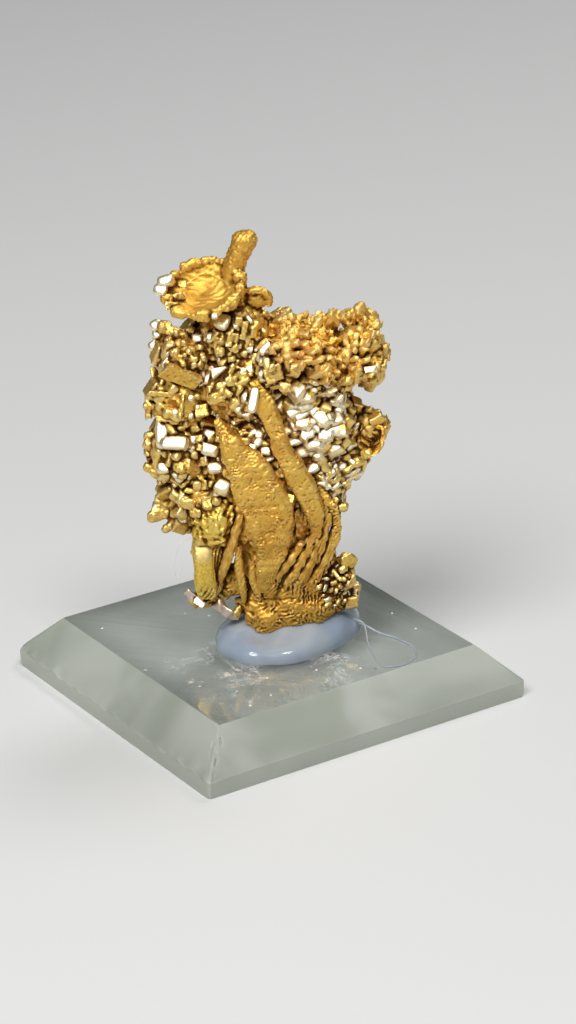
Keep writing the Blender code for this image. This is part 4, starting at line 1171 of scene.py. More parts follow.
def skin_of_rings(name, rings):
    """A closed piece through rings of points."""
    count, sides = rings.shape[:2]
    index = np.arange(count * sides).reshape(count, sides)
    after = np.roll(index, -1, axis=1)
    quads = np.stack([index[:-1], after[:-1], after[1:], index[1:]], -1).reshape(-1, 4)
    corners = np.concatenate([quads.ravel(), index[0][::-1], index[-1]])
    starts = np.concatenate([np.arange(len(quads)) * 4, len(quads) * 4 + np.array([0, sides])])
    piece = mesh_from(name, rings.reshape(-1, 3), corners, starts)
    choose(piece)
    bpy.ops.object.mode_set(mode="EDIT")
    bpy.ops.mesh.select_all(action="SELECT")
    bpy.ops.mesh.normals_make_consistent(inside=False)
    bpy.ops.object.mode_set(mode="OBJECT")
    return piece


def bar(name, points, thickness=None, sides=8, rings=None, squareness=1.0):
    rings = rings or len(points)
    return skin_of_rings(name, sweep_rings(points, thickness, sides, rings, squareness))


def turned(profile, steps, rings):
    """A profile of radius and height, turned about its axis."""
    profile = np.array(profile)
    at = np.linspace(0, len(profile) - 1, rings)
    radius, height = (np.interp(at, np.arange(len(profile)), profile[:, side]) for side in (0, 1))
    angles = math.tau * np.arange(steps) / steps
    wide, deep = np.outer(radius, np.cos(angles)), np.outer(radius, np.sin(angles))
    return np.stack([wide, deep, np.repeat(height[:, None], steps, 1)], -1)


def at_cup(points):
    """Points of the plate's own frame put in their place on the gold."""
    return (points * CUP_HALF) @ spin_of(CUP_TURN).T + CUP_MIDDLE


def thread(name, points, sides, rings):
    """A round thread through points (x, y, z, radius)."""
    path = smooth_path(points, rings)
    ways = unit(np.gradient(path[:, :3], axis=0))
    across = np.cross(ways[0], (0.3, 0.2, 1.0))
    angles = math.tau * np.arange(sides) / sides
    circles = []
    for place, way in zip(path, ways):
        across = across - way * across.dot(way)
        across /= np.linalg.norm(across)
        circle = np.outer(np.cos(angles), across)
        circle += np.outer(np.sin(angles), np.cross(way, across))
        circles.append(place[:3] + place[3] * circle)
    return skin_of_rings(name, np.array(circles))


def tree_of(*pieces):
    """One search tree over the faces of several pieces."""
    points, faces = [], []
    for piece in pieces:
        so_far = len(points)
        points += [tuple(vertex.co) for vertex in piece.data.vertices]
        faces += [[so_far + v for v in face.vertices] for face in piece.data.polygons]
    return BVHTree.FromPolygons(points, faces)


# Where crystals stand


def spots_on(tree, bare, margin, patch, chance, tries):
    """Evenly spread places where lines of sight from one side meet the gold."""
    sight, across = VIEWS[patch.side]
    found = []
    places = np.empty((0, 3))
    for _ in range(patch.count):
        best, best_room = None, 0.0
        for _ in range(tries):
            angle = chance.uniform(0, math.tau)
            reach = math.sqrt(chance.random())
            u = patch.middle[0] + patch.half[0] * reach * math.cos(angle)
            v = patch.middle[1] + patch.half[1] * reach * math.sin(angle)
            spot, normal, _, _ = tree.ray_cast(across * u + UP * v - sight * FAR, sight)
            if spot is None or bare.find_nearest(spot)[3] < margin:
                continue
            room = FAR
            if len(places):
                room = np.sqrt(((places - spot) ** 2).sum(1).min())
            if room > best_room:
                best, best_room = (spot, normal), room
        if best is not None:
            found.append(best)
            places = np.vstack([places, best[0]])
    return found


def facing(kind, tilt, spread, chance):
    """The turn of a form of this kind, tilted in the display view."""
    lean, yaw = (angle + chance.gauss(0, spread) for angle in KINDS[kind][:2])
    return Euler(radians((lean, -tilt, yaw)), "YXZ")


def grown(patches, tree, bare, chance, tries=TRIES, margin=BARE_MARGIN, lit=0.0):
    """The crystals of some patches, each rooted in the surface of the gold."""
    found = []
    for patch in patches:
        for spot, normal in spots_on(tree, bare, margin, patch, chance, tries):
            half = 0.5 * chance.uniform(*patch.length)
            wide, deep = (half * patch.slimness * chance.uniform(*WIDTH_SPREAD) for _ in range(2))
            turn = Euler(radians([angle + chance.gauss(0, TURN_SPREAD) for angle in patch.turn]))
            shade = ANY_SHADE
            # Lit crystals face the key lamp, and their shade paints them paler and silvery, a
            # painted highlight
            if chance.random() < lit:
                tilt = -patch.turn[1] + chance.gauss(0, 2.5 * TURN_SPREAD)
                turn = facing("lit", tilt, LIT_SPREAD, chance)
                shade = KINDS["lit"][-1]
            middle = spot + normal * (half * RISE)
            found.append(Crystal(patch.form, tuple(middle), (wide, deep, half), turn, shade))
    return found


def rim_knobs(chance):
    """Knobs all round the raised edge of the plate."""
    found = []
    for knob in range(RIM_KNOBS):
        angle = math.tau * (knob + chance.uniform(-0.3, 0.3)) / RIM_KNOBS
        around = (RIM_REACH * math.cos(angle), RIM_REACH * math.sin(angle), RIM_HEIGHT)
        size = chance.uniform(*RIM_KNOB_SIZE)
        middle = tuple(at_cup(np.array([around]))[0])
        found.append(Crystal("nodule", middle, (size, 0.8 * size, 0.9 * size), Euler()))
    return found


def beside(tree, start):
    """The gold nearest to a line of sight that passes it, and the place on the line next to it."""
    best = None
    for y in BESIDE_DEPTHS:
        place = start + SEEN * ((float(y) - start.y) / SEEN.y)
        near, _, _, away = tree.find_nearest(place)
        if best is None or away < best[2]:
            best = near, place, away
    return best[:2]


def neck(low, high, radius):
    """A short stalk that holds a form that stands clear of the mass."""
    along = high - low
    half = 0.5 * along.length + 0.35
    turn = along.to_track_quat("Z", "Y").to_euler()
    return Crystal("nodule", tuple((low + high) / 2), (radius, radius, half), turn)


def placed_by_eye(tree, chance):
    """The single forms that stand out on the display face."""
    found = []
    for form, kind, places in SINGLE_FORMS:
        flatness = 0.3 if form in ("slab", "disc") else 0.8
        for u, v, width, height, tilt, out in places:
            start = SEEN_RIGHT * u + SEEN_UP * v - SEEN * FAR
            spot = tree.ray_cast(start, SEEN)[0]
            if spot is None:
                near, spot = beside(tree, start)
                found.append(neck(near, spot, 0.25 + 0.25 * min(width, height)))
            *_, spread, shade = KINDS[kind]
            turn = facing(kind, tilt, spread, chance)
            deep = flatness * min(width, height)
            middle = spot - SEEN * (out + 0.15 * deep)
            half = (0.5 * width, 0.5 * deep, 0.5 * height)
            found.append(Crystal(form, tuple(middle), half, turn, shade))
    return found


def in_pit(crystal):
    """Whether a crystal would fill one of the pits."""
    for middle, half in PITS:
        away = [(at - low) / size for at, low, size in zip(crystal.middle, middle, half)]
        if sum(step * step for step in away) < PIT_CLEARANCE:
            return True
    return False


def within(crystal, room):
    return all(low < at < high for at, (low, high) in zip(crystal.middle, room))


def varied(crystals, seed):
    """Some of the plain blocks made stepped or hollow-faced."""
    chance = random.Random(seed)
    changed = []
    for crystal in crystals:
        pick = chance.random()
        if crystal.form == "block" and pick < 0.3:
            crystal = crystal._replace(form="stepped")
        elif crystal.form == "block" and pick < 0.42:
            crystal = crystal._replace(form="hopper")
        changed.append(crystal)
    return changed


# The pieces of the gold


def grown_together(name, templates, crystals, unevenness, seed, voxel):
    """Crystals as one skin with softened edges and a faint grain."""
    piece = copies(name, templates, crystals, unevenness, seed)
    fused(piece, voxel, smoothing=1)
    shade = shade_by_crystal(piece, crystals, seed)
    points = points_of(piece)
    fine, _ = pebbles(stirred(points, 0.8, 0.08, seed), 0.42, seed)
    plain = np.where(shade > DARKER_SHADES, 0.25, 1.0)
    push_out(piece, plain * (0.07 * (fine - LEVEL) + 0.03 * waves(points, 0.7, seed)))
    apply(piece, "DECIMATE", ratio=0.55)
    return piece


def shade_by_crystal(piece, crystals, seed):
    """Gives each point of a skin the shade of the crystal that it lies on."""
    chance = np.random.default_rng(seed)
    shades = [shade_of(crystal, chance) for crystal in crystals]
    points = points_of(piece)
    tree = KDTree(len(crystals))
    for index, crystal in enumerate(crystals):
        tree.insert(crystal.middle, index)
    tree.balance()
    middles = np.array([crystal.middle for crystal in crystals])
    spans = np.array([max(crystal.half) for crystal in crystals])
    shade = np.empty(len(points))
    for index, point in enumerate(points):
        near = [found for _, found, _ in tree.find_n(point, 3)]
        reach = np.linalg.norm(middles[near] - point, axis=1) / spans[near]
        shade[index] = shades[near[int(reach.argmin())]]
    write_attribute(piece, "shade", shade)
    return shade


def fused(piece, voxel, smoothing=2):
    """All shapes of the piece grown into one skin."""
    apply(piece, "REMESH", mode="VOXEL", voxel_size=voxel)
    apply(piece, "SMOOTH", factor=0.5, iterations=smoothing)


def mass_piece(name, names, extra, voxel):
    """Some of the rounded masses and what grows out of them, as one skin."""
    masses = balls(name, [MASSES[part] for part in names])
    piece = join(name, [masses, *extra])
    fused(piece, voxel)
    return piece


def dig_pits(piece):
    pits = balls("pits", PITS, steps=2)
    apply(piece, "BOOLEAN", operation="DIFFERENCE", object=pits, solver="EXACT")
    bpy.data.objects.remove(pits, do_unlink=True)


def model_body():
    names = [name for name in MASSES if name not in FOOT + ARM + CROWN + BULGE]
    ridges = [bar("ridge", points, BLADE_THICKNESS) for points in REVERSE_RIDGES]
    body = mass_piece("gold_body", names, ridges, voxel=0.2)
    dig_pits(body)
    points = points_of(body)
    coarse, shade = pebbles(stirred(points, 1.6, 0.12, 5), 0.75, 1)
    fine, _ = pebbles(points, 0.38, 2)
    push_out(body, 0.26 * (coarse - LEVEL) + 0.1 * (fine - LEVEL))
    write_attribute(body, "shade", DARKER_SHADES * shade)
    apply(body, "DECIMATE", ratio=0.7)
    return body


def model_bulge(templates, bare):
    """The swelling low on the left: a mosaic of flat pebbles above a smooth upright slab."""
    slab = bar("slab", BULGE_SLAB, BULGE_SLAB_THICKNESS, sides=32, rings=40, squareness=0.5)
    bulge = mass_piece("gold_bulge", BULGE, [slab], voxel=0.15)
    tiles = grown([BULGE_TILES], tree_of(bulge), bare, random.Random(46), CROWDED_TRIES)
    mosaic = copies("mosaic", templates, tiles, unevenness=0.08, seed=47)
    bulge = join("gold_bulge", [bulge, mosaic])
    fused(bulge, voxel=0.11, smoothing=1)
    points = points_of(bulge)
    x, y, z = points.T
    pebbly = eased(z + 0.5 * x, 7.4, 8.4)
    tiles, shade = pebbles(stirred(points, 1.4, 0.16, 8), 0.85, 3)
    small, _ = pebbles(stirred(points, 1.0, 0.1, 9), 0.42, 4)
    wrinkles = Sheet(spacing=0.5, slope=70, pull=0.6, seed=9).at(x + y, z)
    # The slab is smooth in the middle, and rough at its edges and its foot
    slab_edge = np.abs(x + 8.35) + 0.5 * (y > -2.0)
    rough = np.clip(eased(slab_edge, 0.6, 1.2) + eased(z, 8.0, 6.8), 0, 1)
    height = pebbly * (0.14 * (tiles**0.6 - 0.8) + 0.05 * (small - LEVEL))
    height += (1 - pebbly) * rough * (0.1 * wrinkles + 0.12 * (small - LEVEL))
    push_out(bulge, height)
    # Where smooth, the slab is painted paler towards its top, a painted glow
    painted_glow = 0.74 + 0.12 * eased(z, 8.6, 10.6)
    smooth = (1 - pebbly) * (1 - rough)
    write_attribute(bulge, "shade", np.where(smooth > 0.4, painted_glow, 0.6 + 0.2 * shade))
    return bulge


def on_arm(patches, seed, arm, bare):
    """Crystals crowded on the arm, but for its notch."""
    found = grown(patches, tree_of(arm), bare, random.Random(seed), CROWDED_TRIES)
    return [crystal for crystal in found if not within(crystal, ARM_NOTCH)]


def model_arm(templates, knobs, bare):
    """The crumbling arm: chunky flakes fused into one crust, with crisp leaves over it."""
    lumps = copies("lumps", templates, knobs, unevenness=0.05, seed=4)
    arm = mass_piece("gold_arm", ARM, [lumps], voxel=0.2)
    big, _ = pebbles(stirred(points_of(arm), 2.0, 0.25, 9), 1.9, 4)
    push_out(arm, 0.5 * (big - 1.05))
    flakes = on_arm(FLAKES, 44, arm, bare)
    chunks = copies("chunks", templates, flakes, unevenness=0.08, seed=45)
    arm = join("gold_arm", [arm, chunks])
    fused(arm, voxel=0.13, smoothing=1)
    dig_pits(arm)
    points = points_of(arm)
    steps = 0.34 * terraced(2.4 * waves(points, 3.0, 14))
    steps += 0.16 * terraced(2 * waves(points, 1.5, 15))
    fine, shade = pebbles(stirred(points, 0.8, 0.1, 16), 0.42, 6)
    push_out(arm, 0.5 * (steps - steps.mean()) + 0.12 * (fine - LEVEL))
    write_attribute(arm, "shade", DARKER_SHADES * shade)
    leaves = on_arm(LEAVES, 45, arm, bare)
    crisp = copies("crisp", templates, leaves, unevenness=0.22, seed=46)
    return join("gold_arm", [arm, crisp])


def terraced(height):
    """Even ground broken by short steep steps, at every whole number."""
    whole = np.floor(height)
    return whole + eased(height - whole, 0.7, 1.0)


def model_foot():
    """The spread foot, covered with fine worm-like ridges that grow steeper upwards."""
    twigs = [bar("twig", points) for points in TWIGS]
    foot = mass_piece("gold_foot", FOOT, twigs, voxel=0.1)
    dig_pits(foot)
    points = points_of(foot)
    worms = foot_worms(points)
    rough, shade = pebbles(stirred(points, 1.0, 0.1, 22), 0.5, 7)
    behind = eased(normals_of(foot)[:, 1], -0.1, 0.3)
    away = np.maximum(behind, eased(points[:, 0], 3.6, 4.6))
    height = (1 - away) * (0.09 * worms + 0.1 * waves(points, 1.8, 23))
    push_out(foot, height + away * 0.2 * (rough - LEVEL) + 0.06 * (rough - 0.5))
    # Paler on the worms' crests and darker between them: painted highlight and painted shade
    write_attribute(foot, "shade", 0.35 + 0.3 * worms + 0.2 * shade)
    return foot


def model_lobe():
    """The curled leaf at the right, with ridges one inside the other."""
    rings = turned(LOBE_PROFILE, steps=72, rings=90)
    placed = (rings * LOBE_HALF) @ spin_of(LOBE_TURN, "YXZ").T + LOBE_MIDDLE
    lobe = skin_of_rings("gold_lobe", placed)
    points = points_of(lobe)
    fine, shade = pebbles(points, 0.4, 62)
    set_points(lobe, stirred(points, 1.6, 0.22, 61))
    push_out(lobe, 0.08 * (fine - LEVEL))
    write_attribute(lobe, "shade", 0.5 * shade)
    return lobe


def model_crown(templates, knobs):
    """The dished plate with the finger above it."""
    grown_on = [
        copies("lumps", templates, knobs, unevenness=0.05, seed=8),
        skin_of_rings("plate", at_cup(turned(CUP_PROFILE, *CUP_FINE))),
        bar("finger", FINGER, sides=16, rings=40),
        bar("leaf", KNOB_LEAF, sides=12, rings=30),
    ]
    crown = mass_piece("gold_crown", CROWN, grown_on, voxel=0.12)
    points = points_of(crown)
    local = ((points - CUP_MIDDLE) @ spin_of(CUP_TURN)) / CUP_HALF
    reach = np.hypot(local[:, 0], local[:, 1])
    dish = eased(reach, 0.86, 0.72) * eased(local[:, 2], -0.5, -0.3)
    moved = stirred(points, 2.5, 0.35, 31)
    leafy = Sheet(spacing=0.7, slope=6, pull=0.7, seed=4)
    leaves = leafy.at(moved[:, 0], 1.2 * moved[:, 2] + 0.6 * moved[:, 1])
    # The dish has low leafy wrinkles and one fold round it, and all else is grainy
    low = eased(local[:, 1], -0.55, -0.3)
    grain, shade = pebbles(stirred(points, 1.0, 0.1, 33), 0.6, 11)
    fine, _ = pebbles(points, 0.3, 12)
    height = dish * (0.008 + 0.016 * low) * leaves
    height += dish * (0.1 * waves(points, 2.4, 34) + 0.012 * waves(points, 1.0, 35))
    fold = np.exp(-(((reach - 0.56 - 0.06 * waves(points, 3.0, 36)) / 0.06) ** 2))
    height += dish * (0.13 * fold * eased(local[:, 1], -0.5, 0.1) + 0.03 * (fine - LEVEL))
    height += (1 - dish) * (0.15 * (grain - LEVEL) + 0.04 * (fine - LEVEL))
    push_out(crown, height)
    # The dish is painted darker to offset the key lamp's light on it, a painted shade, and darker
    # still in its middle
    inner = dish * eased(reach, 0.62, 0.5)
    shade = DARKER_SHADES * (shade * 0.6 + 0.3) * (1 - inner) * (1 - 0.4 * dish)
    write_attribute(crown, "shade", shade)
    return crown


def rooted(points, radius):
    """A rod's points with radii, its lower end drawn out thin into the foot."""
    first, middle, last = (np.array(point) for point in points)
    way = (last - middle) / np.linalg.norm(last - middle)
    end = last + ROD_ROOT * way + (0.0, 0.5, 0.0)
    places = ((first, 0.7), (middle, 1.0), (last, 0.9), (end, 0.35))
    return [(*place, share * radius) for place, share in places]


def model_rods():
    """The slender strands beside and below the blades, grooved lengthwise."""
    made = [
        bar("rod", rooted(points, radius), sides=26, rings=64, squareness=0.8)
        for points, radius in RODS + STRANDS
    ]
    rods = join("gold_rods", made)
    points = points_of(rods)
    moved = stirred(points, 1.8, 0.2, 51)
    grooves = Sheet(spacing=0.36, slope=60, pull=1.6, seed=6)
    height = 0.05 * grooves.at(moved[:, 0], moved[:, 2])
    height += 0.06 * waves(points, 1.6, 53) + 0.02 * waves(points, 0.7, 54)
    fine, _ = pebbles(stirred(points, 0.8, 0.1, 56), 0.36, 57)
    low = eased(points[:, 2], 9.6, 7.4)
    height = (1 - low) * (height + 0.04 * (fine - LEVEL)) + low * 0.09 * foot_worms(points)
    push_out(rods, height)
    write_attribute(rods, "shade", np.clip(0.4 + 0.3 * waves(points, 2.0, 55), 0, 0.8))
    return rods


def model_blades():
    """The three blades, finely skinned and striated across."""
    made = [bar("blade", points, BLADE_THICKNESS, *skin) for points, *skin in BLADES]
    blades = join("gold_blades", made)
    points = stirred(stirred(points_of(blades), 2.6, 0.1, 47), 1.0, 0.05, 48)
    set_points(blades, points)
    moved = stirred(points, 2.0, 0.14, 41)
    across = Sheet(spacing=0.34, slope=28, pull=0.15, seed=5, rounds=3)
    wrinkles = across.at(moved[:, 0], moved[:, 2])
    strength = np.clip(0.7 + 0.5 * waves(points, 2.0, 42), 0.1, 1.3)
    low = eased(points[:, 2], 9.4, 7.4)
    height = (1 - low) * (0.06 * strength * wrinkles + 0.02 * waves(points, 0.5, 44))
    push_out(blades, height + low * 0.08 * foot_worms(points) + 0.05 * waves(points, 2.6, 43))
    write_attribute(blades, "shade", np.clip(0.5 + 0.3 * waves(points, 3.0, 45), 0, 0.8))
    return blades


def model_bare_parts():
    """Plain copies of the smooth parts, which crystals keep clear of."""
    blades = [bar("blade", points, BLADE_THICKNESS) for points, *_ in BLADES]
    rods = [bar("rod", [(*point, radius) for point in points]) for points, radius in RODS]
    return [*blades, *rods, skin_of_rings("plate", at_cup(turned(CUP_PROFILE, *CUP_PLAIN)))]


def model_growth(growth, templates, tree, kept_clear, chance):
    """A piece of fine growth, and points inside it."""
    name, patches, seed, lit, unevenness, voxel, faces_left = growth
    small = grown(patches, tree, kept_clear, chance, GROWTH_TRIES, GROWTH_MARGIN, lit)
    small = [chip for chip in small if not (within(chip, BULGE_FRONT) or in_pit(chip))]
    piece = copies(name, templates, small, unevenness, seed)
    inside = np.vstack([points_of(piece), [chip.middle for chip in small]])
    fused(piece, voxel, smoothing=1)
    apply(piece, "DECIMATE", ratio=faces_left)
    shade_by_crystal(piece, small, seed)
    return piece, inside


def build_gold(finishes):
    templates = make_templates()
    chance = random.Random(CRYSTAL_SEED)
    all_masses = balls("all_masses", MASSES.values())
    bare_parts = model_bare_parts()
    bare = tree_of(*bare_parts)
    knobs = grown(KNOBS, tree_of(all_masses), bare, chance)
    arm_knobs = [knob for knob in knobs if within(knob, ARM_ROOM) and not within(knob, ARM_NOTCH)]
    crown_knobs = [knob for knob in knobs if within(knob, CROWN_ROOM) or within(knob, BELOW_CROWN)]
    masses = [
        model_body(),
        model_bulge(templates, bare),
        model_arm(templates, arm_knobs, bare),
        model_foot(),
        model_crown(templates, crown_knobs + rim_knobs(chance)),
    ]
    tree = tree_of(*masses)
    blades, rods, lobe = model_blades(), model_rods(), model_lobe()
    pieces = [*masses, blades, rods, lobe]
    middle, half, turn = HIND_CRYSTAL
    behind = [Crystal("block", middle, half, Euler(radians(turn)))]
    for crystal in varied(grown(CRYSTALS, tree, bare, chance), seed=3):
        if not (within(crystal, FACE_BY_HAND) or within(crystal, BULGE_FRONT)):
            behind.append(crystal)
    single = placed_by_eye(tree_of(*pieces), random.Random(5))
    forms = grown_together("gold_forms", templates, single, unevenness=0.15, seed=2, voxel=0.1)
    reverse = grown_together("gold_reverse", templates, behind, unevenness=0.1, seed=3, voxel=0.14)
    kept_clear = tree_of(*bare_parts, forms, reverse, lobe)
    fine_chance = random.Random(CRYSTAL_SEED + 1)
    made = [model_growth(growth, templates, tree, kept_clear, fine_chance) for growth in GROWTHS]
    pieces += [forms, reverse, *(piece for piece, _ in made)]
    for piece in pieces:
        mark_grooves(piece, part_of(piece)[1])
    mark_hollows(pieces, [inside for _, inside in made])
    for spare in (*templates.values(), all_masses, *bare_parts):
        bpy.data.objects.remove(spare, do_unlink=True)
    for piece in pieces:
        finish_piece(piece, finishes[part_of(piece)[0]])


def part_of(piece):
    """The finish of a piece of gold, and how deep its grooves are."""
    return GOLD_PARTS[piece.name.split("_")[1]]


def edge_ends(piece):
    """The first and the second point of every edge."""
    return whole_numbers(piece.data.edges, "vertices", 2).reshape(-1, 2).T


def mark_grooves(piece, reach):
    """Writes how sharply the surface folds in at each point, from -1 on ridges to 1 in grooves."""
    points = points_of(piece)
    first, second = edge_ends(piece)
    count = np.bincount(np.concatenate([first, second]), minlength=len(points))
    count = np.maximum(count, 1)[:, None]

    def averaged(values):
        total = np.zeros_like(values)
        for start, end in ((first, second), (second, first)):
            for axis in range(values.shape[1]):
                total[:, axis] += np.bincount(start, values[end, axis], len(points))
        return total / count

    smooth = averaged(averaged(points))
    depth = ((smooth - points) * normals_of(piece)).sum(1)
    depth = 0.5 * depth + 0.5 * averaged(depth[:, None])[:, 0]
    # The finishes paint shade in the grooves and highlight on the ridges by this mark
    write_attribute(piece, "groove", np.clip(depth / reach, -1, 1))


def mark_hollows(pieces, inside):
    """Writes how deep in the gold's hollows each point lies, from 0 on tips to 1 in cracks."""
    skins = [points_of(piece) for piece in pieces]
    every = np.concatenate([*skins, *inside, *(middles_of_edges(piece) for piece in pieces)])
    low = every.min(0) - 2.0
    size = np.ceil((every.max(0) + 2.0 - low) / HOLLOW_CELL).astype(int)
    solid_cells = np.zeros(size, bool)
    cells = ((every - low) / HOLLOW_CELL).astype(int)
    solid_cells[tuple(cells.T)] = True
    filled = ~outside_of(solid_cells)
    # Both marks are painted into the gold's colour as shade in its cracks and hollows
    rooms = {"crack": blurred(filled, CRACK_REACH), "hollow": blurred(filled, HOLLOW_REACH)}
    for piece, points in zip(pieces, skins):
        where = (points + 0.15 * normals_of(piece) - low) / HOLLOW_CELL - 0.5
        for name, room in rooms.items():
            write_attribute(piece, name, sampled(room, where))


def middles_of_edges(piece):
    """Points along the edges that are longer than a cell."""
    first, second = (points_of(piece)[ends] for ends in edge_ends(piece))
    far = np.linalg.norm(first - second, axis=1) > HOLLOW_CELL
    first, second = first[far], second[far]
    return np.concatenate([first * (1 - share) + second * share for share in (0.3, 0.5, 0.7)])


def outside_of(cells):
    """The cells that can be reached from the edge of the block."""
    empty = ~cells
    outside = np.zeros_like(cells)
    outside[0], outside[:, 0], outside[:, :, 0] = True, True, True
    before = 0
    while outside.sum() != before:
        before = outside.sum()
        for axis in range(3):
            for step in (1, -1):
                outside |= np.roll(outside, step, axis) & empty
    return outside


def blurred(cells, reach):
    """How full of gold the room is within the given reach of each cell."""
    spectrum = np.fft.rfftn(cells.astype(np.float32))
    parts = [np.fft.fftfreq(count, HOLLOW_CELL) for count in cells.shape[:2]]
    parts.append(np.fft.rfftfreq(cells.shape[2], HOLLOW_CELL))
    grid = np.meshgrid(*parts, indexing="ij", sparse=True)
    square = sum(part**2 for part in grid)
    return np.fft.irfftn(spectrum * np.exp(-2 * (math.pi * reach) ** 2 * square), cells.shape)


def sampled(room, where):
    """Values of a block of cells at places between their middles."""
    low = np.clip(np.floor(where).astype(int), 0, np.array(room.shape) - 2)
    total = np.zeros(len(where))
    for step, weight in corner_weights(where - low):
        total += weight * room[tuple((low + step).T)]
    return total


def finish_piece(
    piece, material, node="gold_nugget", place=SPECIMEN, angle=60
):
    """Puts a piece in its place, smooth over edges flatter than the angle, on the frame."""
    piece.data.transform(place)
    if material is not None:
        piece.data.materials.clear()
        piece.data.materials.append(material)
    choose(piece)
    bpy.ops.object.shade_smooth_by_angle(angle=math.radians(angle))
    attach(piece, "root")
    if node is not None:
        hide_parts(node)


# Glue, its string, a fibre of lint and the base


def build_glue(milky):
    """A smooth dome, a little lumpy, wet against the foot of the gold."""
    start_afresh()
    bpy.ops.mesh.primitive_uv_sphere_add(segments=112, ring_count=80, radius=1.0)
    glue = named("hot_glue")
    points = points_of(glue)
    dome = points[:, 2]
    points[:, 2] = np.where(dome < 0, 0.0, np.abs(dome) ** 0.8) * GLUE_RISE
    points *= (0.5 * GLUE_LENGTH, 0.5 * GLUE_WIDTH, 1.0)
    points = points @ spin_of((0, 0, GLUE_TURN)).T + GLUE_MIDDLE
    below = points * (1, 1, 0)
    share = np.clip(points[:, 2] / GLUE_RISE, 0, 1)
    lumps = 0.5 * waves(below, 9.0, 71) + 0.25 * waves(below, 4.0, 72)
    dip = np.exp(-((points[:, :2] - GLUE_DIP) ** 2).sum(1) / GLUE_DIP_REACH)
    points[:, 2] *= 1 + 0.28 * lumps - 0.26 * dip + 0.015 * points[:, 0]
    out = 1 + 0.025 * waves(below, 7.0, 73) * (1 - share)
    points[:, :2] = GLUE_MIDDLE[:2] + (points[:, :2] - GLUE_MIDDLE[:2]) * out[:, None]
    set_points(glue, points)
    finish_piece(glue, milky, "mounting_glue")


def build_string(milky):
    string = thread("glue_loop", STRING_PATH, sides=14, rings=220)
    finish_piece(string, milky, "glue_string", Matrix.Scale(MM, 4))


def build_fibre(lint):
    points = []
    for u, v, y in FIBRE_PATH:
        place = SEEN_RIGHT * u + SEEN_UP * v
        place += SEEN * ((y - place.y) / SEEN.y)
        points.append((*place, FIBRE_RADIUS))
    fibre = thread("lint_fibre", points, sides=8, rings=90)
    finish_piece(fibre, lint, None)


def base_outline(half, cuts, z):
    """Points round a square with its four corners cut off, counter-clockwise from the front."""
    corners = [(-1, -1), (1, -1), (1, 1), (-1, 1)]
    even = np.linspace(0, 1, BASE_STEPS)
    share = 0.5 * (0.5 - 0.5 * np.cos(math.pi * even)) + 0.5 * even
    found = []
    for index, corner in enumerate(corners):
        start, end = np.array(corner, float), np.array(corners[(index + 1) % 4], float)
        way = (end - start) / 2
        start = start * half + way * cuts[index]
        end = end * half - way * cuts[(index + 1) % 4]
        side = start + (end - start) * share[:, None]
        found.append(np.column_stack([side, np.full(BASE_STEPS, z)]))
    return np.concatenate(found)


def build_base(clear, sawn):
    """The base: a sawn lip, four sawn bevels and a polished top and underside."""
    half = 0.5 * BASE_SIDE / MM
    lip = (BASE_HEIGHT - BEVEL_DROP) / MM
    top = BASE_HEIGHT / MM
    width, drop = BEVEL_WIDTH / MM, BEVEL_DROP / MM
    cuts = np.array((CORNER_CUT, CORNER_CUT, CORNER_CUT, WORN_CORNER_CUT)) / MM
    rings = [base_outline(half - LOWER_EDGE, cuts, 0.0)]
    for share in np.linspace(0, 1, 5)[1:]:
        rings.append(base_outline(half, cuts, lip * share))
    for share in np.linspace(0, 1, 15)[1:]:
        shrink = 1 - (1 - TOP_CORNER_SHARE) * share
        z = lip + drop * share - (UPPER_EDGE[1] if share == 1 else 0.0)
        rings.append(base_outline(half - width * share, cuts * shrink, z))
    rings.append(base_outline(half - width - UPPER_EDGE[0], cuts * TOP_CORNER_SHARE, top))
    rings = np.array(rings)
    wear_base(rings, half, lip, top)
    base = skin_of_rings("clear_base", rings)
    base.data.materials.append(clear)
    base.data.materials.append(sawn)
    for face in base.data.polygons:
        face.material_index = 0 if abs(face.normal.z) > 0.99 else 1
    on_floor = Matrix.Scale(MM, 4)
    finish_piece(base, None, "acrylic_base", on_floor, angle=20)


def wear_base(rings, half, lip, top):
    """Waves in the saw cut along the left side, and chips out of the front corner's edge."""
    x, y, z = rings[..., 0], rings[..., 1], rings[..., 2]
    flat = rings.reshape(-1, 3)
    left = eased(-x, half - 2.2, half - 0.4) * eased(z, 0.1, lip) * eased(z, lip + 0.9, lip)
    cut = waves(flat * (0, 1, 0), 3.2, 81) + 0.6 * waves(flat * (0, 1, 0), 1.3, 82)
    z += 0.13 * left * cut.reshape(z.shape)
    near = np.hypot(x - y, 0.6 * (x + y + 2 * half - (z - lip) * 2)) < 0.9
    chance = np.random.default_rng(83)
    chip = near & (z > lip * 0.3) & (chance.random(z.shape) < 0.28)
    bite = np.where(chip, chance.uniform(0.04, 0.16, z.shape), 0.0)
    x += bite
    y += bite
    z -= 0.5 * bite * (z < top)


# Finishes


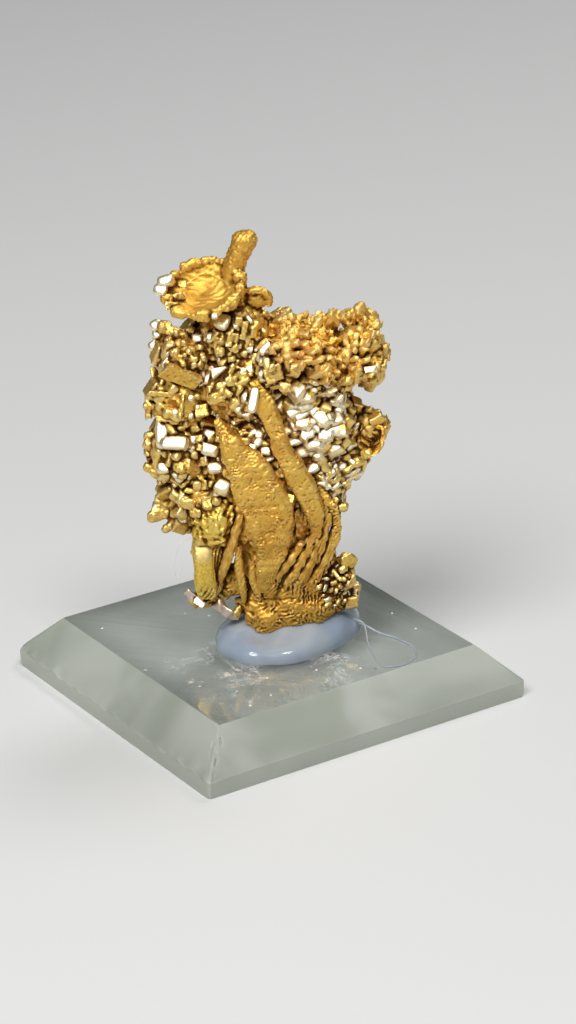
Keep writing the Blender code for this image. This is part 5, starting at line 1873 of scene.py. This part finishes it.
def clear_acrylic():
    """Clear polished acrylic with smears and dust."""
    clear = Finish("clear acrylic", Transmission_Weight=1.0, IOR=1.49, Roughness=0.02)
    clear.set("Base Color", solid((0.9, 0.925, 0.9)))
    where = clear.place()
    near_glue = clear.near(where, SMEAR_MIDDLE, SMEAR_REACH)
    curls = clear.noise(where, 0.5, detail=4.0, roughness=0.6, warp=4.5)
    lines = (1 - (curls - 0.5).size() * 26).ramp(0.0, 0.7)
    patchy = clear.noise(where, 0.22, detail=3.0, roughness=0.6, warp=1.0).ramp(0.46, 0.62)
    smear = lines * patchy * near_glue
    film = clear.noise(where, 0.13, detail=4.0, roughness=0.6, warp=1.4).ramp(0.42, 0.75)
    specks = clear.node("TexVoronoi", None, {"Vector": where, "Scale": 0.45})
    dust = (0.08 - specks).ramp(0.0, 0.03) * 0.8
    clear.bump(clear.noise(where, 0.3, warp=1.5), strength=0.2, distance=0.05 * MM)
    clear.cover("dust", (0.8, 0.81, 0.8), (smear * 0.55 + film * 0.12 + dust).ramp(0.0, 1.0))
    clear.let_light_through(0.8, (0.93, 0.95, 0.93))
    return clear.material


def sawn_acrylic():
    """The same acrylic sawn and left satin, paler along its lower rim."""
    sawn = Finish("sawn acrylic", Transmission_Weight=0.5, IOR=1.49)
    where = sawn.place()
    cloud = sawn.noise(where, 0.1, warp=0.6).ramp(0.35, 0.65)
    rim = sawn.height_of(where).ramp(1.95, 1.65)
    tone = sawn.mixed(cloud, (0.44, 0.47, 0.4), (0.6, 0.63, 0.56))
    sawn.set("Base Color", sawn.mixed(rim * 0.6, tone, (0.7, 0.72, 0.64)))
    sawn.set("Roughness", 0.5 + 0.12 * cloud)
    sawn.bump(sawn.noise(where, 6.0), strength=0.2, distance=0.03 * MM)
    sawn.let_light_through(0.5, (0.8, 0.83, 0.78))
    return sawn.material


def milky_finish():
    glue = Finish(
        "milky glue", Transmission_Weight=0.28, IOR=1.48, Roughness=0.14, Subsurface_Weight=0.7
    )
    glue.shader.inputs["Subsurface Radius"].default_value = (0.8, 1.0, 1.25)
    glue.shader.inputs["Subsurface Scale"].default_value = 1.6 * MM
    where = glue.place()
    cloud = glue.noise(where, 0.22).ramp(0.35, 0.65)
    glue.set("Base Color", glue.mixed(cloud, (0.36, 0.43, 0.53), (0.46, 0.51, 0.57)))
    glue.bump(glue.noise(where, 0.8, detail=1.0), strength=0.1, distance=0.1 * MM)
    return glue.material


def gold_finish(name, deep, pale, roughness, polish, lemon):
    gold = Finish(name + " gold", Metallic=1.0)
    where = gold.place()
    shade, groove = gold.attribute("shade"), gold.attribute("groove")
    crack, hollow = gold.attribute("crack"), gold.attribute("hollow")
    # Painted shade in the cracks, whose mask also makes them rougher
    crack_shade_mask = crack.ramp(0.42, 0.66) * 0.94
    colour = deep
    for share, tone in (
        # Paler by the shade: the gold's own uneven tone, and painted highlight on lit faces and
        # crests
        (shade * 0.7 + gold.noise(where, 0.35, detail=3.0) * 0.5 - 0.1, pale),
        (gold.noise(where, 0.28, detail=1.5).ramp(0.5, 0.68) * 0.5, COPPERY),
        (gold.noise(where, 4.5).ramp(0.6, 0.38) * 0.42, FLECKED),
        (gold.noise(where, 0.14).ramp(0.4, 0.62) * lemon, GREENER),
        # Painted highlight: lit faces and the slab's top turn silvery; the flakes' silver is their
        # own
        (shade.ramp(0.84, 0.9) * 0.85, SILVERY_TONE_AND_PAINTED_GLINT),
        (shade.ramp(0.93, 0.98) * 0.85, PINKISH),
        # Painted shade in the grooves and painted highlight on the ridges
        (groove.ramp(0.1, 0.9) * 0.75, PAINTED_GROOVE_SHADE),
        ((0.0 - groove).ramp(0.3, 1.0) * 0.35, PAINTED_RIDGE_HIGHLIGHT),
        # Painted shade in narrow cracks and in deep hollows
        (crack_shade_mask, PAINTED_CRACK_SHADE),
        (hollow.ramp(0.48, 0.7) * 0.88, PAINTED_HOLLOW_SHADE),
    ):
        colour = gold.mixed(share, colour, tone)
    gold.set("Base Color", colour)
    uneven = GOLD_GRAIN * (gold.noise(where, 2.2) - 0.5)
    gold.set("Roughness", roughness + uneven + 0.2 * crack_shade_mask - polish * shade.ramp(0.8, 0.9))
    gold.bump(gold.noise(where, 7.0, detail=3.0), strength=0.25, distance=0.04 * MM)
    return gold.material


def plain_finish(name, colour, roughness):
    finish = Finish(name, Roughness=roughness)
    finish.set("Base Color", solid(colour))
    return finish.material


# Stage


def aimed(azimuth, elevation):
    """The turn of what looks at the object from this side and height."""
    turn = Matrix.Rotation(azimuth, 4, "Z")
    return turn @ Matrix.Rotation(math.pi / 2 - elevation, 4, "X")


def set_up(name, data, place):
    holder = bpy.data.objects.new(name, data)
    bpy.context.scene.collection.objects.link(holder)
    holder.matrix_world = place
    return holder


def add_camera():
    camera = bpy.data.cameras.new("photo camera")
    camera.sensor_fit = "AUTO"
    camera.sensor_width = 36.0
    camera.lens = CAMERA_LENS
    camera.clip_start = 0.01
    turn = aimed(CAMERA_AZIMUTH, CAMERA_ELEVATION) @ Matrix.Rotation(CAMERA_ROLL, 4, "Z")
    away = Matrix.Translation((CAMERA_RIGHT, CAMERA_UP, CAMERA_DISTANCE))
    bpy.context.scene.camera = set_up("photo camera", camera, turn @ away)


def add_lamp(name, azimuth, elevation, size, power):
    lamp = bpy.data.lights.new(name, "AREA")
    lamp.shape = "DISK"
    lamp.size = size
    lamp.energy = power
    turn = aimed(math.radians(azimuth), math.radians(elevation))
    aim = Matrix.Translation((0, 0, LAMP_AIM))
    set_up(name, lamp, aim @ turn @ Matrix.Translation((0, 0, LAMP_DISTANCE)))


def add_stage():
    start_afresh()
    bpy.ops.mesh.primitive_plane_add(size=4.0)
    floor = named("floor")
    floor.data.materials.append(plain_finish("pale floor", (0.6, 0.6, 0.59), 0.7))
    world = bpy.data.worlds.new("studio")
    bpy.context.scene.world = world
    world.use_nodes = True
    sky = world.node_tree.nodes["Background"]
    sky.inputs["Color"].default_value = solid(SKY)
    sky.inputs["Strength"].default_value = SKY_STRENGTH
    for name, settings in LAMPS.items():
        add_lamp(name, *settings)
    bpy.context.scene.view_settings.view_transform = "Standard"


def main():
    add_camera()
    add_stage()
    build_gold({name: gold_finish(name, *settings) for name, settings in GOLD_FINISHES.items()})
    milky = milky_finish()
    build_glue(milky)
    build_string(milky)
    build_fibre(plain_finish("lint", (0.72, 0.7, 0.66), 0.7))
    build_base(clear_acrylic(), sawn_acrylic())


main()
